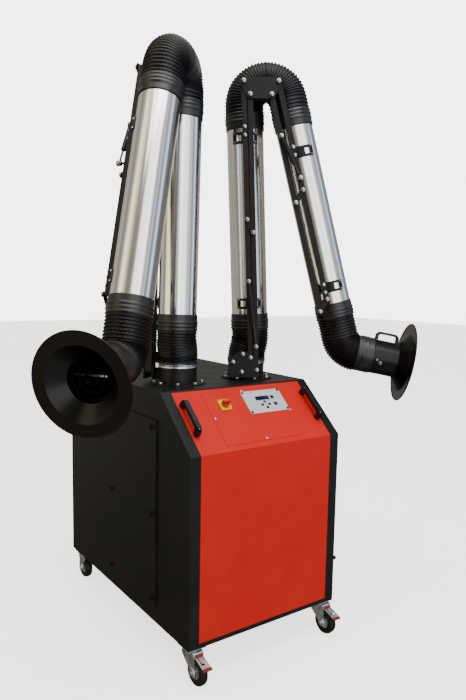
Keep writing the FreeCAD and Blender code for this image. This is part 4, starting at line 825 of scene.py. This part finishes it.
# %% Clamp bolts
BAR_FACE = 119
CLAMP_LOWS = {"lower_arm": (196, 857), "forearm": (-292, -844)}
BAR_CAPS = {"lower_arm": [(0, z) for z in (879, 911)],
            "forearm": [(-TUBE_OFFSET, z) for z in (-286, -254, -838, -806)]}
SADDLE_RADIUS, SADDLE_ANGLES, SADDLE_RISES = 79.3, (-31, 31), (5, 39)
for side in SIDES:
    for body, lows in CLAMP_LOWS.items():
        place, name = tube_frame(side, body), f"{side}_{body}"
        caps = [axis_frame(place, (x, -BAR_FACE, z), OUT) for x, z in BAR_CAPS[body]]
        fasten(name + "_bar_caps", name, bolt_zinc, caps, dome_head, True, radius=7.5, height=5.0)
        heads = []
        for low, angle, rise in itertools.product(lows, SADDLE_ANGLES, SADDLE_RISES):
            turn = Vector((math.sin(math.radians(angle)), -math.cos(math.radians(angle)), 0))
            heads.append(axis_frame(place, turn * SADDLE_RADIUS + UP * (low + rise), turn))
        fasten(name + "_clamp_bolts", name, bolt_zinc, heads, hex_head, width=8.0, height=4.0, washer=1.0)
print("clamp bolts and bar caps")

# %% [markdown]
# The front slope carries the controls. Its frame has X across, Y up the slope from the knee and Z square to
# the sheet, so every key and screw is placed with two numbers. The keys are domed tiles under the film, and
# two thin frames, one of film and one dark, surround the display.

# %% Keys and display
FRONT, SLOPE_RUN, SLOPE_RISE, PLATE = -535, 215, 191, 3.5
KEY_RISE, KEY_CORNER, KEY_DRAW, CORNER_STEPS = 1.2, 2.5, 0.8, 5
KEY_SHARES = ((0, 0), (0, 0.6), (0.25, 0.92), (0.7, 1))
SIDE_KEYS, SIDE_KEY = ((126, 212), (126, 179)), (16, 16)
CROSS_X, CROSS_Y, CROSS_STEPS, CROSS_KEY = 79, 180, ((0, 15), (0, -15), (17, 0), (-17, 0)), (13, 11)
MASK, BEZEL, WINDOW = (37, 198, 115, 230), (43, 202, 109, 221), (46, 204, 106, 218)
FRAME_SINK = 0.2
slope = moved((0, FRONT, TOP - SLOPE_RISE)) @ Matrix.Rotation(math.atan2(SLOPE_RISE, SLOPE_RUN), 4, "X")


def on_slope(x, y, z):
    return slope @ moved((x, y, z))


def key_tile(shape, place, size):
    """A raised tile with rounded corners and a softened top."""
    wide, high = size
    loops = []
    for inset, lift in KEY_SHARES:
        reach, loop = KEY_CORNER - KEY_CORNER * inset * KEY_DRAW, []
        for cx, cy, start in ((1, 1, 0), (-1, 1, 90), (-1, -1, 180), (1, -1, 270)):
            for step in range(CORNER_STEPS):
                angle = math.radians(start + 90 * step / (CORNER_STEPS - 1))
                x = cx * (wide / 2 - KEY_CORNER) + reach * math.cos(angle)
                y = cy * (high / 2 - KEY_CORNER) + reach * math.sin(angle)
                loop.append(shape.verts.new(place @ (Vector((x, y, KEY_RISE * lift)) * MM)))
        loops.append(loop)
    skin(shape, loops)
    shape.faces.new(loops[-1])


def picture_frame(shape, inner, outer, rise):
    """Four bars round a window on the plate; inner and outer are (left, bottom, right, top)."""
    bars = ((outer[0], outer[1], outer[2], inner[1]), (outer[0], inner[3], outer[2], outer[3]),
            (outer[0], inner[1], inner[0], inner[3]), (inner[2], inner[1], outer[2], inner[3]))
    for left, bottom, right, top in bars:
        block(shape, on_slope(0, 0, PLATE), (left, bottom, -FRAME_SINK), (right, top, rise))


shape = bmesh.new()
for x, y in SIDE_KEYS:
    key_tile(shape, on_slope(x, y, PLATE), SIDE_KEY)
for dx, dy in CROSS_STEPS:
    key_tile(shape, on_slope(CROSS_X + dx, CROSS_Y + dy, PLATE), CROSS_KEY)
carried("keypad_keys", shape, key_film, "cabinet", True)
shape = bmesh.new()
picture_frame(shape, BEZEL, MASK, rise=1.3)
carried("display_film_mask", shape, keypad_film, "cabinet")
shape = bmesh.new()
picture_frame(shape, WINDOW, BEZEL, rise=1.5)
carried("display_bezel", shape, wire_coat, "cabinet")
print("six keys and two display frames")

# %% [markdown]
# Screws hold the control plate, the cover in the slope and the switch. The red front ends in a folded hem
# above the lower edge. The two handles are cut off at a slant, and each end has a cap with a screw.

# %% Screws, hem and handle ends
DECK, SWITCH_PLATE = 1.5, 6
PLATE_SCREWS = [(x, y) for x in (-3, 170) for y in (151, 244)]
COVER_SCREWS = ((1, 257), (0, 30), (-175, 144), (181, 142))
SWITCH_SCREWS = ((-127, 218), (-89, 180))
HEM_HALF, HEM_LOW, HEM_HIGH, HEM_THICK = 302, 148, 159.2, 0.5
HANDLE_X, HANDLE_ENDS, HANDLE_TOP, HANDLE_SLANT = 284, (78, 224), 40, 14
CAP_LOW, CAP_HIGH, CAP_SCREW = (-7.5, -8.5, -0.5), (7.5, 8.5, 0.7), 4

for name, finish, places, face, width, height in (
        ("control_plate_screws", grip_nylon, PLATE_SCREWS, PLATE, 11, 2.8),
        ("cover_screws", zinc, COVER_SCREWS, DECK, 9, 2.4),
        ("switch_screws", bolt_zinc, SWITCH_SCREWS, DECK + SWITCH_PLATE, 5, 1.4)):
    heads = [on_slope(x, y, face) for x, y in places]
    fasten(name, "cabinet", finish, heads, screw_head, width=width, height=height)

shape = bmesh.new()
block(shape, Matrix(), (-HEM_HALF, FRONT - HEM_THICK, HEM_LOW), (HEM_HALF, FRONT, HEM_HIGH))
carried("front_panel_hem", shape, red_coat, "cabinet")

seats, screws = [], []
for sign in (-1, 1):
    for end, way in zip(HANDLE_ENDS, (-1, 1)):
        middle = (sign * HANDLE_X, end - way * HANDLE_SLANT / 2, HANDLE_TOP - HANDLE_SLANT / 2)
        seat = axis_frame(slope, middle, (0, way, 1))
        seats.append(seat)
        screws.append(seat @ moved((0, way * -CAP_SCREW, CAP_HIGH[2])))
fasten("front_handle_end_caps", "cabinet", wire_coat, seats, block, low=CAP_LOW, high=CAP_HIGH)
fasten("front_handle_screws", "cabinet", bolt_zinc, screws, screw_head, width=6.5, height=2.0)
print("slope screws, hem and handle ends")

# %% [markdown]
# The wheels are rubber tyres on pressed steel hubs. The solid has the right size, so the dressed wheel only
# rounds the tread and dishes the hub, with five ribs and a boss for the bearing. A dished zinc disc and a nut
# close each end of the axle, outside the fork.

# %% Wheels
WHEEL_X, FRONT_AXLE, REAR_AXLE, WHEEL_RADIUS, FORK_HALF = 308, -537, 470, 50, 21
TREAD_HALF = ((26.4, -12.6), (32, -14.8), (40, -15.8), (44, -15.2), (47.5, -12.5), (49.4, -8),
              (WHEEL_RADIUS, -3))
HUB_RADIUS, HUB_RIM, HUB_BOSS, HUB_BORE = 26.3, 22, 13, 6.6
WEB_HALF, RING_START, RIM_FACE, BOSS_FACE = 7, 6, 12.4, 15.4
HUB_RIBS, HUB_RIB_LOW, HUB_RIB_HIGH = 5, (12, -2.2, 7), (23, 2.2, 11.6)
AXLE_DISC, NUT_START = ((18, 0), (18, 1), (16.5, 1.6), (13.5, 3.2), (8, 3.4)), 3.2


def mirrored(half, middle=0.0):
    """A section that is the same on both sides of a height, from its lower half."""
    return [*half, *((radius, 2 * middle - height) for radius, height in reversed(half))]


def wheel_pieces(name, centre):
    place = moved(centre) @ spun(90, "Y")
    shape = bmesh.new()
    hoop(shape, place, mirrored(TREAD_HALF), sides=64)
    face_outward(shape)
    tyre = carried(name + "_tyre", shape, tyre_rubber, name + "_wheel", True)
    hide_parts(name + "_wheel")
    shape = bmesh.new()
    for sign in (-1, 1):
        face = place @ Matrix.Diagonal((1, 1, sign, 1))
        soft_ring(shape, face, HUB_RIM, HUB_RADIUS, RING_START, RIM_FACE, sides=48)
        soft_ring(shape, face, HUB_BORE, HUB_BOSS, RING_START, BOSS_FACE, sides=32)
        for i in range(HUB_RIBS):
            block(shape, face @ spun(i * 360 / HUB_RIBS, "Z"), HUB_RIB_LOW, HUB_RIB_HIGH)
    soft_ring(shape, place, HUB_BORE, HUB_RADIUS, -WEB_HALF, WEB_HALF, sides=48)
    face_outward(shape)
    hub = carried(name + "_hub", shape, zinc, name + "_wheel")
    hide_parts(name + "_wheel")


def axle_end(shape, place):
    """A dished disc against the fork, with a hexagon nut in the middle."""
    turned(shape, place, AXLE_DISC, sides=40)
    hex_head(shape, place @ moved(UP * NUT_START), width=13, height=7)


for side, sign in zip(SIDES, (-1, 1)):
    for end, axle, carrier in (("front", FRONT_AXLE, side + "_caster"), ("rear", REAR_AXLE, "cabinet")):
        name, centre = f"{side}_{end}", Vector((sign * WHEEL_X, axle, WHEEL_RADIUS))
        wheel_pieces(name, centre)
        ends = [axis_frame(Matrix(), centre + Vector((way * FORK_HALF, 0, 0)), (way, 0, 0))
                for way in (-1, 1)]
        fasten(name + "_axle_nuts", carrier, zinc, ends, axle_end)
print("four wheels with their axle ends")

# %% [markdown]
# The foot levers of the front brakes are pressed from zinc plated steel. The toe is thicker than the lever,
# and its lip and the mark by the pivot are enamelled red. These are four blocks in the lever's own frame.

# %% Brake pedals
PEDAL_Y, PEDAL_Z, PEDAL_TILT = -531, 111, 20
PEDAL_TOE = (((-17.6, -79, -1.2), (17.6, -62, 4.4)), ((-7, -46, 1.0), (7, -20, 5.0)))
PEDAL_MARK = (((-16, -18, 2.8), (16, -6, 4.0)), ((-17.8, -79.4, -1.4), (17.8, -67, 4.7)))
for side, sign in zip(SIDES, (-1, 1)):
    pedal = moved((sign * WHEEL_X, PEDAL_Y, PEDAL_Z)) @ spun(PEDAL_TILT, "X")
    for piece, blocks, finish, slot in (("toe", PEDAL_TOE, zinc, "zinc"),
                                        ("mark", PEDAL_MARK, pedal_enamel, "red_knob")):
        shape = bmesh.new()
        for low, high in blocks:
            block(shape, pedal, low, high)
        carried(f"{side}_pedal_{piece}", shape, finish, side + "_brake_pedal")
print("two brake pedals")

# %% [markdown]
# A spun hood has a rolled edge, which stiffens the thin sheet and keeps it from cutting hands. Two bolts
# through the duct hold the strap of the pivot inside. Behind the guard runs the bright spindle of the damper,
# and a moulded bow handle sits on top of the duct. The bow is rectangles from foot to foot, skinned and then
# bevelled all over.

# %% Hood edges, bolts and handles
EDGE_RADIUS, EDGE_ROLL, EDGE_RISE, ROLL_SIDES = 163.5, 3, 2.2, 10
ROLLED = [(EDGE_RADIUS + EDGE_ROLL * math.cos(angle), EDGE_RISE + EDGE_ROLL * math.sin(angle))
          for angle in [2 * math.pi * k / ROLL_SIDES for k in range(ROLL_SIDES)]]
DUCT_FACE, HEAD_SHARE = 72.3, 0.45
DUCT_HEADS = (("duct_bolts", -0.25, 113, 13), ("duct_rivets", -0.1, 128, 7))
DAMPER_DEPTH, DAMPER_START = 96, -71
DAMPER = ((4.0, 0), (4.5, 1), (4.5, 66), (6.5, 68), (6.5, 140), (6.0, 142))
GRIP_BASE, GRIP_TOP, GRIP_NEAR, GRIP_MIDDLE, GRIP_SLANT = 72.8, 107.4, 43, 93, 13
GRIP_BAR, GRIP_LEG, GRIP_HALF, GRIP_ROUND = 10.5, 14, 8, 2.2
GRIP_DIP, GRIP_DRAFT, GRIP_EASE = 3, 1, 5
GRIP_OUTER = ((GRIP_BASE, GRIP_NEAR), (GRIP_TOP - GRIP_SLANT, GRIP_NEAR), (GRIP_TOP, GRIP_NEAR + GRIP_SLANT))
GRIP_INNER = ((GRIP_BASE, GRIP_NEAR + GRIP_LEG),
              (GRIP_TOP - GRIP_SLANT - GRIP_DIP, GRIP_NEAR + GRIP_LEG - GRIP_DRAFT),
              (GRIP_TOP - GRIP_BAR, GRIP_NEAR + GRIP_SLANT + GRIP_EASE))


def bow_handle(shape, place):
    loops = []
    for (high, far), (low, near) in zip(mirrored(GRIP_OUTER, GRIP_MIDDLE), mirrored(GRIP_INNER, GRIP_MIDDLE)):
        corners = ((high, -GRIP_HALF, far), (high, GRIP_HALF, far),
                   (low, GRIP_HALF, near), (low, -GRIP_HALF, near))
        loops.append([shape.verts.new(place @ (Vector(corner) * MM)) for corner in corners])
    skin(shape, loops)
    close_ends(shape, loops)
    face_outward(shape)
    bmesh.ops.bevel(shape, geom=list(shape.edges), offset=GRIP_ROUND * MM, segments=3, affect="EDGES")


def rim_frame(side):
    return arm_frame(side) @ moved(PIVOT[side].rim) @ spun(ARM[side]["pitch"] - 90, "Y")


for side in SIDES:
    place, hood = rim_frame(side), side + "_hood"
    shape = bmesh.new()
    hoop(shape, place, ROLLED, sides=120)
    face_outward(shape)
    carried(hood + "_rolled_edge", shape, hood_coat, hood, True)
    for name, drop, depth, width in DUCT_HEADS:
        turns = [Vector((drop, -way, 0)).normalized() for way in (1, -1)]
        heads = [axis_frame(place, turn * DUCT_FACE + UP * depth, turn) for turn in turns]
        fasten(f"{side}_{name}", hood, bolt_zinc, heads, hex_head, width=width, height=width * HEAD_SHARE)
    spindle = axis_frame(place, (0, DAMPER_START, DAMPER_DEPTH), (0, 1, 0))
    fasten(side + "_damper_spindle", hood, zinc, [spindle], turned, True, section=DAMPER, sides=20)
    grip = fasten(hood + "_grip", hood, grip_nylon, [place], bow_handle)
    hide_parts(hood + "_handle")
print("rolled edges, duct bolts, damper spindles and bow handles")

# %% [markdown]
# The back and the sides have the plain fittings of such a cabinet: a low cable gland with its blanking plug,
# rubber plugs in the tooling holes of the side wall, button screws along the folds and a small latch knob.
# All are turned shapes, so the same few functions make them.

# %% Gland, plugs and wall screws
REAR, FLANK, FOLD_X, FOLD_Z = 535, 345, (-325, 325), (160, 990)
LID_Y, REAR_Z, FLANK_Y = (-290, -40, 230, 500), (160, 430, 710, 990), (-290, -20, 250, 510)
GLAND_X, GLAND_Z, KNOB_Y, KNOB_Z = 230, 260, -526, 303
GLAND_RINGS = ((((17, 0), (17, 1.6), (16.2, 2.2)), 32), (((15, 2.2), (15, 6), (13.8, 6.8)), 6),
               (((12, 6.8), (12, 8.2), (10.5, 9.4), (6, 9.6)), 28))
KNOB = ((4.5, 0), (4.5, 7), (7.5, 8), (8, 10), (8, 15), (6.5, 17))
SIDE_PLUGS = ((-413, 736), (-432, 687), (-428, 420), (-432, 157))

shape = bmesh.new()
for section, sides in GLAND_RINGS:
    turned(shape, axis_frame(Matrix(), (GLAND_X, REAR, GLAND_Z), (0, 1, 0)), section, sides)
carried("cable_gland", shape, grip_nylon, "cabinet")
plugs = [axis_frame(Matrix(), (-FLANK, y, z), (-1, 0, 0)) for y, z in SIDE_PLUGS]
fasten("side_plugs", "cabinet", grip_nylon, plugs, screw_head, width=9, height=1.6)
lid = [moved((x, y, TOP)) for x in FOLD_X for y in LID_Y]
rear = [axis_frame(Matrix(), (x, REAR, z), (0, 1, 0)) for x in FOLD_X for z in REAR_Z]
flank = [axis_frame(Matrix(), (FLANK, y, z), (1, 0, 0)) for y in FLANK_Y for z in FOLD_Z]
for name, heads in (("lid_screws", lid), ("rear_screws", rear), ("flank_screws", flank)):
    fasten(name, "cabinet", grip_nylon, heads, screw_head, width=10, height=2.4)
knob = axis_frame(Matrix(), (FLANK, KNOB_Y, KNOB_Z), (1, 0, 0))
fasten("flank_latch_knob", "cabinet", grip_nylon, [knob], turned, True, section=KNOB, sides=28)
print("gland, plugs, wall screws and latch knob")
